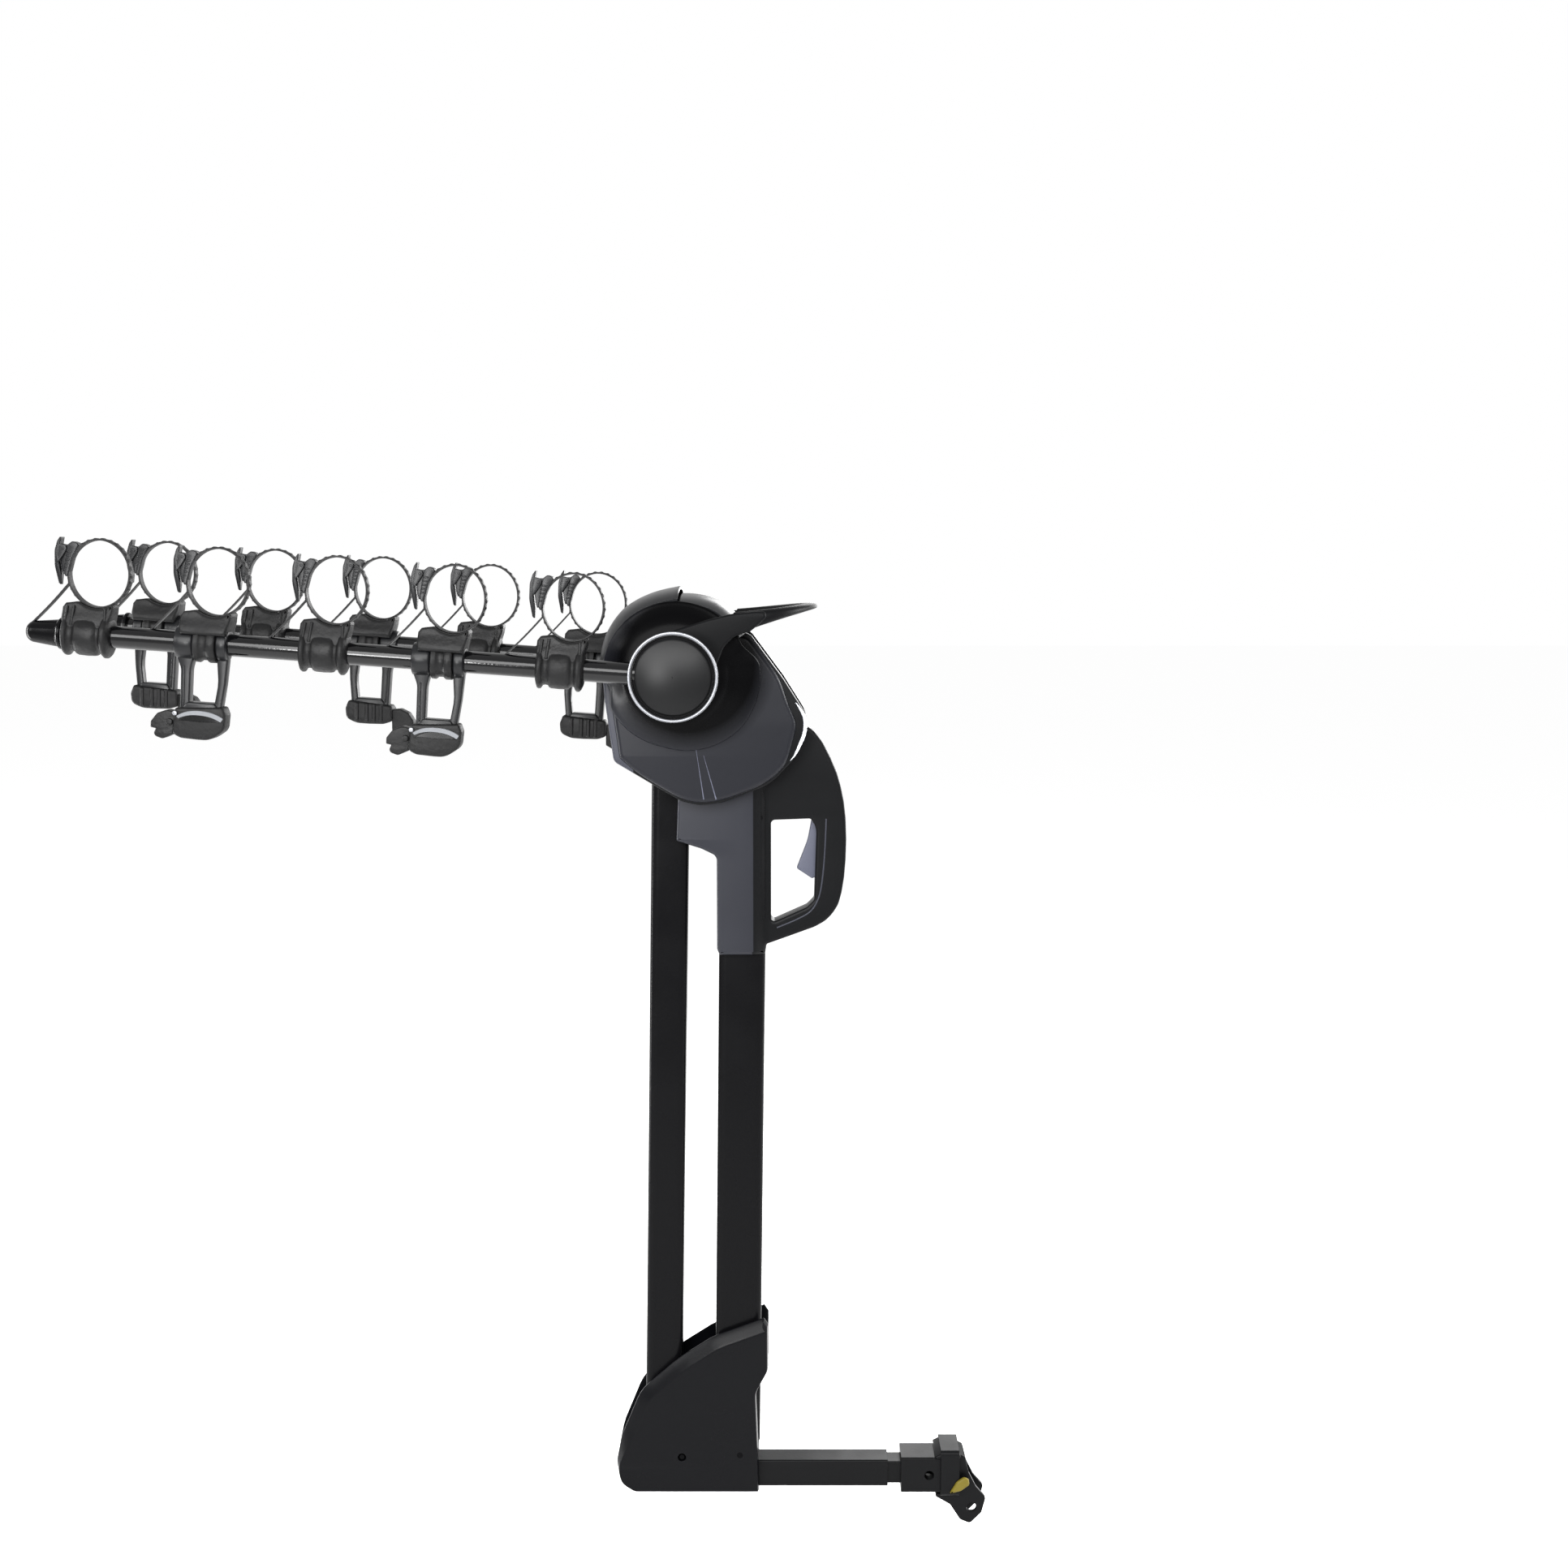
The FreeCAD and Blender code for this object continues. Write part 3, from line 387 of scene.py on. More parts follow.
def add_noise(tree, coords, scale, detail, stretch=(1, 1, 1)):
    """Noise on Object coordinates, stretched along an axis for drawn marks."""
    mapping = add(tree, "Mapping", {"Scale": stretch}, {"Vector": coords})
    noise = add(tree, "TexNoise", {"Scale": scale, "Detail": detail}, {"Vector": mapping.outputs["Vector"]})
    return noise.outputs["Fac"]


def add_range(tree, source, low, high, out_low, out_high):
    """Source value mapped from one range to another."""
    limits = {"From Min": low, "From Max": high, "To Min": out_low, "To Max": out_high}
    return add(tree, "MapRange", limits, {"Value": source}).outputs["Result"]


def tint(tree, bsdf, factor, colour_a, colour_b):
    """Base colour between two colours by a factor."""
    mix = add(tree, "Mix", {"A": (*colour_a, 1), "B": (*colour_b, 1)}, {"Factor": factor}, data_type="RGBA")
    tree.links.new(mix.outputs["Result"], bsdf.inputs["Base Color"])


def relief(tree, bsdf, height, distance, edge):
    """Bump of a height on edges that are softened by edge metres."""
    bevel = add(tree, "Bevel", {"Radius": edge})
    bump = add(tree, "Bump", {"Strength": 1.0, "Distance": distance},
               {"Height": height, "Normal": bevel.outputs["Normal"]})
    tree.links.new(bump.outputs["Normal"], bsdf.inputs["Normal"])


def scaled(colour, factor):
    """Colour with each channel times a factor, at most one."""
    return [min(1.0, c * factor) for c in colour[:3]]


# For each kind of finish: scale and detail of the slow noise in shade and gloss, and of the fine
# noise in the relief, the two shades, the gloss's range and swing, the relief and the soft edge.
# Plastic has a spark-eroded grain, paint a low orange peel with faint dust, rubber pebbles and an
# uneven sheen, and steel fine drawn lines.
KINDS = {
    "plastic": ((7.0, 3.0), (900.0, 2.0), (0.86, 1.14), (0.3, 0.7, -0.04, 0.05), 0.00004, 0.0012),
    "paint": ((14.0, 5.0), (260.0, 1.0), (0.85, 1.2), (0.35, 0.7, -0.05, 0.07), 0.00006, 0.0009),
    "rubber": ((26.0, 4.0), (150.0, 5.0), (0.7, 1.45), (0.3, 0.7, -0.1, 0.12), 0.0007, 0.001),
    "steel": ((600.0, 2.0, (1, 0.05, 1)), (600.0, 2.0, (1, 0.05, 1)), None, (0.3, 0.7, -0.07, 0.1),
              0.00001, 0.0008),
}
# The material's name, kind, colour, share of that colour, roughness, specular level and its own
# relief, if it has one
FINISHES = {
    "slate": ("slate_plastic", "plastic", "slate", 0.9, 0.34, 0.2),
    "base": ("base_plastic", "plastic", "slate", 0.12, 0.27, 0.08),
    "charcoal": ("charcoal_plastic", "plastic", "charcoal", 0.7, 0.32, 0.2),
    # The handle's dark plastic, also the painted shadow on the head rim and painted shade on the grip
    # housing's upper part
    "handle": ("handle_plastic", "plastic", "charcoal", 0.36, 0.36, 0.08),
    "gloss": ("gloss_black", "plastic", "black", 0.4, 0.2, 0.08, 0.00001),
    "dome": ("dome_plastic", "plastic", "charcoal", 0.25, 0.36, 0.17, 0.00002),
    "tube": ("tube_paint", "paint", "black", 0.4, 0.1, 0.28),
    "bar": ("bar_paint", "paint", "black", 0.55, 0.26, 0.06),
    # Pale finish of the cover's creases: a painted highlight
    "line": ("line_plastic", "plastic", "slate", 5.6, 0.4, 0.2),
    "paint": ("frame_paint", "paint", "charcoal", 0.3, 0.34, 0.08),
    "bolt": ("bolt_black", "paint", "black", 0.5, 0.5, 0.03),
    "rubber": ("cradle_rubber", "rubber", "rubber", 0.5, 0.46, 0.17),
    "strap": ("strap_rubber", "rubber", "rubber", 0.8, 0.45, 0.17),
    "buckle": ("buckle_nylon", "plastic", "charcoal", 0.6, 0.3, 0.2),
    "silver": ("ring_silver", "steel", "silver", 0.42, 0.36, 0.5),
    "steel": ("pin_steel", "steel", "silver", 1.2, 0.28, 0.5),
    "yellow": ("yellow_plastic", "plastic", "yellow", 1.0, 0.4, 0.2),
    "band": ("band_webbing", "rubber", "webbing", 1.0, 0.6, 0.17),
    "lever": ("lever_plastic", "plastic", "charcoal", 0.3, 0.46, 0.06, 0.00002),
    "trigger": ("trigger_plastic", "plastic", "slate", 4.6, 0.4, 0.2),
    # Light rim finish: on the head rim's left part it is painted light
    "rim": ("rim_plastic", "plastic", "slate", 1.8, 0.36, 0.2),
    # Bright metal of the painted highlight strip on the head cover's edge
    "trim": ("trim_metal", "steel", "silver", 1.5, 0.35, 0.5),
}
# Finishes made so far, by name
MADE = {}


def grained(name, kind, colour, roughness, specular, depth=None):
    """Finish of one kind: the slow noise mixes two shades and moves the roughness, and the fine one
    is the relief."""
    slow, fine, shades, gloss, kind_depth, edge = KINDS[kind]
    material, tree, bsdf, coords = shader(name, colour, roughness, specular, float(kind == "steel"))
    drift = add_noise(tree, coords, *slow)
    if shades:
        tint(tree, bsdf, drift, scaled(colour, shades[0]), scaled(colour, shades[1]))
    low, high, down, up = gloss
    rough = add_range(tree, drift, low, high, roughness + down, roughness + up)
    tree.links.new(rough, bsdf.inputs["Roughness"])
    relief(tree, bsdf, add_noise(tree, coords, *fine), depth or kind_depth, edge)
    return material


def cover_plastic(dark, light):
    """Cover that is black and glossier round the hub, where the dish is, and fades into slate further out:
    the dark fade over the cover, with its lower specular level, is painted shade round the knuckle. Colour,
    roughness and specular level follow the distance from a place beside the hub."""
    material, tree, bsdf, coords = shader("cover_plastic", light, 0.4, 0.15)
    place = (-HUB[0] * MM - 0.016, 0, -HUB[2] * MM - 0.012)
    shift = add(tree, "Mapping", {"Location": place, "Scale": (1, 0, 1)}, {"Vector": coords})
    length = add(tree, "VectorMath", {}, {0: shift.outputs["Vector"]}, operation="LENGTH").outputs["Value"]
    # Between these distances the dark fades into slate: painted shade round the knuckle, its middle set
    # beside the hub
    shade_fade_from, shade_fade_to = 0.087, 0.118
    tint(tree, bsdf, add_range(tree, length, shade_fade_from, shade_fade_to, 0.0, 1.0), dark, light)
    for key, inner, outer in (("Roughness", 0.26, 0.34), ("Specular IOR Level", 0.03, 0.15)):
        tree.links.new(add_range(tree, length, shade_fade_from, shade_fade_to, inner, outer), bsdf.inputs[key])
    relief(tree, bsdf, add_noise(tree, coords, 900.0, 2.0), 0.00003, 0.0012)
    return material


def finish_of(name):
    """The finish with this name, made on first use."""
    if name not in MADE:
        colours = bpy.context.scene.rack_colours
        if name == "cover":
            MADE[name] = cover_plastic(scaled(colours.black, 0.25), scaled(colours.slate, 0.52))
        else:
            title, kind, colour, share, *rest = FINISHES[name]
            MADE[name] = grained(title, kind, scaled(getattr(colours, colour), share), *rest)
    return MADE[name]


# Settings

def length_setting(name, text, default, least=0.0):
    """Setting for a length in metres."""
    return bpy.props.FloatProperty(name=name, description=text, default=default, min=least,
                                   subtype="DISTANCE", unit="LENGTH")


def colour_setting(name, text, *default):
    """Setting for a colour, as three linear channels."""
    return bpy.props.FloatVectorProperty(name=name, description=text, default=default, min=0, max=1,
                                         size=3, subtype="COLOR")


class RackSizes(bpy.types.PropertyGroup):
    """Sizes that a user would change."""

    ring_depth: length_setting("Ring depth", "How far the silver ring stands off the knuckle", 0.005)
    tooth_pitch: length_setting("Tooth pitch", "Distance between the ladder strap's teeth", 0.0092, 0.002)
    tooth_height: length_setting("Tooth height", "How far a strap tooth stands out", 0.001)
    floor_drop: length_setting("Floor drop", "Gap between the rack's lowest point and the floor", 0.012)
    lens: bpy.props.FloatProperty(
        name="Lens", description="Focal length of the camera", default=45.19, subtype="DISTANCE_CAMERA")


class RackColours(bpy.types.PropertyGroup):
    """Colours that a user would change."""

    slate: colour_setting("Slate", "Moulded covers and grip", 0.0138, 0.0146, 0.0198)
    black: colour_setting("Black", "Painted tubes and gloss mouldings", 0.004, 0.004, 0.0047)
    charcoal: colour_setting("Charcoal", "Top shells, lever and handle", 0.0082, 0.0086, 0.0098)
    rubber: colour_setting("Rubber", "Cradles, straps and pads", 0.0082, 0.0082, 0.0086)
    yellow: colour_setting("Yellow", "Tab at the hitch end", 0.115, 0.090, 0.0075)
    silver: colour_setting("Silver", "Hub rings and steel", 0.42, 0.43, 0.46)
    webbing: colour_setting("Webbing", "Light band on the hanging pads", 0.14, 0.145, 0.155)


NODE_FINISH = {node: finish for finish, nodes in {
    "paint": "shank_tube shank_insert hitch_sleeve sleeve_lip tail_bracket base_frame rear_bar_foot"
             " neck_plates front_bar_foot head_frame",
    "yellow": "yellow_tab",
    "base": "base_cover_near base_cover_far",
    "bolt": "base_pins housing_screws",
    "bar": "rear_bar front_bar",
    "slate": "grip_housing_near grip_housing_far head_spine",
    "trigger": "release_trigger",
    "steel": "latch_rod head_pins arm_axle",
    "gloss": "side_drums arm_knuckles",
    "charcoal": "front_shell rear_shell fold_lever",
    "cover": "lower_cover_near lower_cover_far",
    "tube": "near_arm far_arm arm_tips",
    "silver": "hub_rings",
    "dome": "hub_caps",
    "rubber": "cradles",
    "strap": "near_straps far_straps",
}.items() for node in nodes.split()}


def node_finish(name):
    """Finish of a node: the buckles, their levers and the hanging forks are nylon, the pads rubber."""
    return "rubber" if name.startswith("third_pad") else NODE_FINISH.get(name, "buckle")


class RACK_OT_frame_finish(bpy.types.Operator):
    """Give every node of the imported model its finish"""

    bl_idname = "rack.frame_finish"
    bl_label = "Finish the frame"

    def execute(self, context):
        for name, node in frame["nodes"].items():
            material = finish_of(node_finish(name))
            if not node.material_slots:
                node.data.materials.append(material)
            for slot in node.material_slots:
                slot.material = material
        return {"FINISHED"}


# Floor, world, lamps and camera

CAMERA_PLACE = (-0.2042, -2.667, 1.2746)
CAMERA_PITCH = 6.4
FLOOR_HALF = 30.0
WORLD_LIGHT = 0.62
FLOOR_LIFT = 0.45
# Name, place, target, width and height, power
LAMPS = (
    ("long box", (-0.65, -2.2, 1.9), (-0.6, -0.1, 1.1), (2.8, 1.0), 97.0),
    ("left box", (-2.9, -1.7, 2.0), (-0.35, 0, 0.4), (1.0, 1.0), 30.0),
    ("front", (-1.25, -2.75, 1.15), (-0.35, 0, 1.1), (0.5, 0.5), 34.0),
    ("fill", (2.4, -2.4, 1.8), (-0.3, 0, 0.7), (2.2, 2.2), 8.0),
    ("rim", (0.6, 2.6, 1.5), (-0.3, 0, 0.5), (1.6, 1.2), 32.0),
    ("right box", (2.6, 0.6, 1.5), (-0.3, 0, 0.8), (1.6, 1.8), 180.0),
    ("side strip", (-2.4, 0.1, 0.75), (-0.2, -0.1, 0.7), (0.2, 1.8), 42.0),
)


def seen_rays(tree):
    """Light Path's camera, glossy and transmission rays as one share between nought and one."""
    rays = tree.nodes.new("ShaderNodeLightPath").outputs
    share = rays["Is Camera Ray"]
    for name in ("Is Glossy Ray", "Is Transmission Ray"):
        share = add(tree, "Math", {}, {0: share, 1: rays[name]}, operation="ADD", use_clamp=True).outputs[0]
    return share


def pale_floor():
    """White floor: what the lamps and the world give it, and for rays that see it the rest up to
    white, so that it keeps the rack's shadow."""
    material, tree, bsdf, _ = shader("pale_floor", (0.86, 0.86, 0.86), 0.9, 0.0)
    bsdf.inputs["Emission Color"].default_value = (1, 1, 1, 1)
    lift = add_range(tree, seen_rays(tree), 0.0, 1.0, 0.0, FLOOR_LIFT)
    tree.links.new(lift, bsdf.inputs["Emission Strength"])
    return material


def pale_world():
    """White to the camera and in reflections, plain grey light on the object."""
    world = bpy.data.worlds.new("pale_world")
    world.use_nodes = True
    tree = world.node_tree
    light = tree.nodes["Background"]
    light.inputs["Color"].default_value = (1, 1, 1, 1)
    light.inputs["Strength"].default_value = WORLD_LIGHT
    seen = add(tree, "Background", {"Color": (1, 1, 1, 1), "Strength": 1.0})
    mix = add(tree, "MixShader", {}, {"Fac": seen_rays(tree), 1: light.outputs[0], 2: seen.outputs[0]})
    tree.links.new(mix.outputs[0], tree.nodes["World Output"].inputs["Surface"])
    return world


def add_lamp(name, place, target, size, power):
    """Area lamp, size[0] wide and size[1] tall, that points at its target."""
    lamp = bpy.data.lights.new(name, "AREA")
    lamp.shape = "RECTANGLE"
    lamp.size, lamp.size_y = size
    lamp.energy = power
    holder = bpy.data.objects.new(name, lamp)
    holder.visible_camera = False
    holder.location = place
    holder.rotation_euler = (Vector(target) - Vector(place)).to_track_quat("-Z", "Y").to_euler()
    bpy.context.scene.collection.objects.link(holder)


class RACK_OT_stage(bpy.types.Operator):
    """Make the floor, the world, the lamps and the camera"""

    bl_idname = "rack.stage"
    bl_label = "Stage"

    def execute(self, context):
        scene, sizes = context.scene, context.scene.rack_sizes
        scene.view_settings.view_transform = "Standard"
        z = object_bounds()[0].z - sizes.floor_drop
        corners = [(x * FLOOR_HALF, y * FLOOR_HALF, z) for x, y in ((-1, -1), (1, -1), (1, 1), (-1, 1))]
        floor_mesh = bpy.data.meshes.new("floor")
        floor_mesh.from_pydata(corners, [], [(0, 1, 2, 3)])
        floor_mesh.materials.append(pale_floor())
        floor = bpy.data.objects.new("floor", floor_mesh)
        scene.collection.objects.link(floor)
        floor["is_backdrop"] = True
        scene.world = pale_world()
        for lamp in LAMPS:
            add_lamp(*lamp)
        camera = bpy.data.cameras.new("camera")
        camera.lens = sizes.lens
        camera.sensor_width = 36.0
        holder = bpy.data.objects.new("camera", camera)
        holder.location = CAMERA_PLACE
        holder.rotation_euler = (math.radians(90 - CAMERA_PITCH), 0, 0)
        scene.collection.objects.link(holder)
        scene.camera = holder
        return {"FINISHED"}


# Head

HEAD_OUTLINE = [(-445, 1129), (-442, 1092), (-431, 1012), (-384, 984), (-340, 958), (-316, 953.5),
                (-286, 957), (-222, 982), (-188, 1018), (-174, 1050), (-173.5, 1072), (-205, 1122),
                (-248, 1180), (-300, 1203)]
HEAD_RADII = [1, 60, 12, 60, 30, 30, 60, 60, 50, 50, 40, 60, 14, 1]
# Where the head rim's painted light on the left meets its painted shadow
RIM_LIGHT_SHADE_SPLIT = -405
COVER_INNER = 35.0
COVER_OUTER = 66.0
SHELL_HALF = 84.0
SHELL_THICK = 4.0
SHELL_MEAN_R = 108.0
AXLE_HOLE_R = 13.0
FRONT_SHELL = [(88, 115.5), (93, 113.6), (100, 112.3), (112, 111.5), (131, 111.8), (152, 108.8), (168, 106),
               (178, 104.5)]
REAR_SHELL = [(30, 110), (48, 110.7), (60, 110.7), (73, 108.2), (87.5, 105.5)]
# The dish's rim, the radius from which it is stretched, its back and its reach away from the vehicle
DISH_R = 96.3
DISH_FLAT_R = 70.0
DISH_BACK = 40.0
DISH_REACH = 88.0
DISH_UPPER = [(13, 94), (52, 98), (60, 97.8), (67, 96.3), (75, 93), (83, 89), (90, 86), (95, 84.2),
              (DISH_R, 82.5)]
DISH_LOWER = [(13, 94), (52, 98), (60, 97), (67, 93), (75, 85.5), (82, 77.5), (88, 71.3), (92, 68),
              (DISH_R, 65.9)]


@sided
def head_cover():
    """Side cover: a slab with a broad soft edge, drawn in at both sides, where the rim piece under
    it shows. Eight passes that move each point halfway to the middle of its neighbours ease it."""
    points = dense(rounded(HEAD_OUTLINE, HEAD_RADII), 5.0)
    x, z = points.T
    away = ramp(x, -400, -30) * ramp(z, 1125, -20)
    right = ramp(x, -215, 30) * ramp(z, 1005, 25) * ramp(z, 1140, -40)
    base = points + inward(points) * (2.2 + 6.0 * away + 11.0 * right)[:, None]
    for _ in range(8):
        base = 0.5 * base + 0.25 * (np.roll(base, 1, axis=0) + np.roll(base, -1, axis=0))
    return moulded([base], edge_steps(COVER_INNER + 8, COVER_OUTER, 0, 7.0, 7))


@sided
def head_rim():
    """Thinner rim piece under the cover, with the full outline, cut along X where its lighter left part,
    painted light, meets its dark rest, painted shadow in the gap under the cover.
    """
    points = dense(rounded(HEAD_OUTLINE, HEAD_RADII), 5.0)
    return sliced(moulded([points], edge_steps(COVER_INNER, COVER_OUTER - 5.0, 0, 3.0, 5)), [RIM_LIGHT_SHADE_SPLIT])


@sided
def painted_highlight_strip():
    """Painted highlight: a bright metal strip along the vehicle's side of the cover, where its edge catches
    the light. It is an ellipse carried along the outline, whose width follows the root of a half sine."""
    points = dense(rounded(HEAD_OUTLINE, HEAD_RADII), 2.0)
    points = points + inward(points) * 2.6
    path = points[(points[:, 0] > -212) & (points[:, 1] > 1012) & (points[:, 1] < 1092)]
    path = path[np.argsort(path[:, 1])]
    taper = np.sqrt(np.clip(np.sin(np.linspace(0, math.pi, len(path))), 0.01, 1))
    return carried(path, oval(12, 3.0, 3.4, y=59.0), scale=np.stack([taper, np.ones_like(taper)], 1))


@sided
def crease_highlight_lines():
    """Shallow wedge of two creases on the cover's lower face, in a pale finish that is the painted highlight
    along them. Each is an ellipse carried down a straight line, and widens on the way."""
    section = oval(8, 0.7, 0.7, y=COVER_OUTER - 0.2)
    return joined(*(carried(np.linspace(top, foot, 12), section, scale=np.linspace([0.5, 1], [1.2, 1], 12))
                    for top, foot in (((-321.5, 1033), (-311, 962)), ((-311, 1021), (-294.5, 962)))))


@sided
def side_dish():
    """Dish round the knuckle, a profile turned a full circle. Under the shells it ends in a rim;
    over the cover its edge flares out until it lies on the cover's face: both profiles are mixed by
    a share of the turn, and the flare's reach is held inside the cover's outline."""
    turn = np.linspace(-168, 192, 144, endpoint=False)
    share = soft(ramp(turn, 26, -22) + ramp(turn, 180, 12))
    upper, lower = smooth_line(DISH_UPPER, 40), smooth_line(DISH_LOWER, 40)
    cos = np.cos(np.radians(turn))
    reach = DISH_R + 2.0 * share + 14.0 * share * np.clip(cos + 0.2, 0, 1)
    held = np.minimum(reach, DISH_REACH / np.maximum(-cos, 0.5))
    reach = np.where(cos < 0, reach + (held - reach) * share, reach)
    grow = (reach[:, None] - DISH_FLAT_R) / (DISH_R - DISH_FLAT_R)
    beyond = np.maximum(upper[:, 0] - DISH_FLAT_R, 0)
    radius = upper[:, 0] + beyond * (grow - 1)
    depth = upper[:, 1] * (1 - share[:, None]) + lower[:, 1] * share[:, None]
    hole = np.full((len(turn), 1), AXLE_HOLE_R)
    radius = np.concatenate([radius, radius[:, -1:], radius[:, -1:] - SHELL_THICK, hole], 1)
    depth = np.concatenate([depth, np.full((len(turn), 3), DISH_BACK)], 1)
    return grid(about_hub(np.radians(turn), radius, depth), True)


def shell(radii, crown, half, lip):
    """Top shell, SHELL_THICK thick: a crowned section turned about the hub axis, whose radius at each turn
    is read off radii. The crown falls with the second and sixth power of the depth, and the ends
    round over within lip mm."""
    turns, rims = np.array(radii, float).T
    angles = np.linspace(turns[0], turns[-1], 70)
    run = np.radians(np.minimum(angles - angles[0], angles[-1] - angles)) * SHELL_MEAN_R
    radius = np.interp(angles, turns, rims) - lip * np.clip(1 - run / lip, 0, 1) ** 2
    depth = np.linspace(-1, 1, 41)
    outer = radius[:, None] - crown * (0.5 * depth ** 2 + 0.5 * depth ** 6)
    y = np.concatenate([depth * half, depth[::-1] * (half - 1.2)])
    return grid(about_hub(np.radians(angles), np.concatenate([outer, outer[:, ::-1] - SHELL_THICK], 1), y))


class RACK_OT_head(bpy.types.Operator):
    """Build the head's shells, covers, dishes, rims and painted highlight strip"""

    bl_idname = "rack.head"
    bl_label = "Head"

    def execute(self, context):
        piece("front_shell_skin", shell(FRONT_SHELL, 15, SHELL_HALF, 0.8), "charcoal", "head",
              ["front_shell"])
        piece("rear_shell_skin", shell(REAR_SHELL, 12, SHELL_HALF - 1.5, 1.0), "charcoal", "head",
              ["rear_shell"])
        # The dishes take the cover's finish: black at the hub, with painted shade fading out over the cover
        piece("dishes", joined(side_dish(-1), side_dish(1)), "cover", "head",
              ["side_drums"])
        for side, word in SIDE_NAMES.items():
            piece("head_cover_" + word, head_cover(side), "cover", "head",
                  ["lower_cover_" + word])
            rim = piece("head_rim_" + word, head_rim(side), "rim", "head")
            # Beyond the split the rim takes the dark handle finish as painted shadow in the gap under the
            # cover; the lighter left part is painted light on the side facing the lamps
            second_finish(rim, "handle", RIM_LIGHT_SHADE_SPLIT)
            # Bright metal strip on the cover's edge: a painted highlight
            piece("head_trim_" + word, painted_highlight_strip(side), "trim", "head")
            # Creases in a pale finish: painted highlight along them
            piece("head_rib_" + word, crease_highlight_lines(side), "line", "head")
        return {"FINISHED"}


# Hub at the arms' root

KNUCKLE_R = 56.0
KNUCKLE_INNER = 110.0
KNUCKLE_OUTER = 142.0
RING_R = 58.5
CAP_R = 49.5
CAP_BULGE = 8.5


def knuckle():
    """Drum with rounded edges and a sunk seat for the dome: a profile turned about the hub."""
    inner, outer, seat = KNUCKLE_INNER, KNUCKLE_OUTER, KNUCKLE_OUTER - 2.5
    return turned([(AXLE_HOLE_R, inner), (50, inner), (54, inner + 1.5), (KNUCKLE_R, inner + 5),
                   (KNUCKLE_R, outer - 1), (54.5, outer), (52.5, outer), (52, seat), (49.8, seat),
                   (AXLE_HOLE_R, seat)], 96)


def hub_dome():
    """Dome: a cap of a sphere, whose edge turns under. The sphere's radius is the sum of the squares
    of the cap's radius and bulge over twice the bulge."""
    sphere = (CAP_R ** 2 + CAP_BULGE ** 2) / (2 * CAP_BULGE)
    radius = np.linspace(0.4, CAP_R - 1.2, 30)
    depth = KNUCKLE_OUTER + CAP_BULGE - sphere + np.sqrt(sphere ** 2 - radius ** 2)
    seat = KNUCKLE_OUTER - 2.4
    return turned([*zip(radius, depth), (CAP_R, depth[-1] - 1.0), (CAP_R, seat), (0.4, seat)], 96)


def hub_band():
    """Silver ring with a rounded lip: a profile turned about the hub, as deep as its setting says."""
    inner, outer = RING_R - 4.2, KNUCKLE_OUTER
    face = outer + bpy.context.scene.rack_sizes.ring_depth / MM - 1
    return turned([(inner, outer - 0.5), (RING_R - 0.6, outer - 0.5), (RING_R, outer + 0.6),
                   (RING_R, face - 1.6), (RING_R - 0.6, face - 0.4), (RING_R - 1.9, face),
                   (inner + 1.0, face - 0.3), (inner, face - 1.3)], 120)


class RACK_OT_hub(bpy.types.Operator):
    """Build the knuckles, their silver rings and dark domes"""

    bl_idname = "rack.hub"
    bl_label = "Hub"

    def execute(self, context):
        for name, part, finish, slot, node in (
                ("knuckles", knuckle(), "gloss", "gloss_black", "arm_knuckles"),
                ("domes", hub_dome(), "dome", "cap_plastic", "hub_caps"),
                ("rings", hub_band(), "silver", "silver_trim", "hub_rings")):
            piece(name, joined(part, mirrored(part)), finish, "arms", [node])
        return {"FINISHED"}


# Grip housing

HOUSING_OUTLINE = [(-350, 901), (-347.5, 962), (-318, 1040), (-308, 1069), (-284, 1081), (-258, 1071),
                   (-184, 1060), (-166, 1052), (-152, 1034), (-141, 1012), (-132.5, 992), (-127, 973),
                   (-123, 953), (-120.5, 931), (-119.5, 902), (-120.3, 874), (-122.2, 850),
                   (-125.5, 829), (-130, 812), (-138, 799), (-148, 789), (-162, 781), (-192, 770),
                   (-228, 757), (-230, 744), (-292, 744), (-295.5, 752), (-295.5, 880), (-316, 890)]
HOUSING_RADII = [3, 6, 20, 14, 12, 14] + [30] * 17 + [3, 2, 3, 3, 10, 20]
HOUSING_HALF = 30.0
GRIP_OPENING = [(-222, 786), (-222, 928), (-168, 930), (-160, 918), (-163, 818), (-173, 808)]
GRIP_RADII = [5, 6, 5, 30, 8, 10]
GRIP_HALF = 18.0
GRIP_SPLIT = -247
NECK_FROM = -249.0
NECK_TO = -225.0
LOBE_X = -262.0
LOBE_ROOM = 17.8
BEAD_LINE = [(-147, 930), (-147.5, 914), (-149.5, 874), (-153, 840), (-158, 819), (-168, 803), (-186, 792),
             (-214, 780)]
TRIGGER_OUTLINE = [(-149, 931), (-160, 934), (-167, 926), (-172, 899), (-187, 860), (-166, 846),
                   (-158, 849), (-153, 900)]
TRIGGER_RADII = [5, 6, 6, 40, 3, 2, 2, 20]


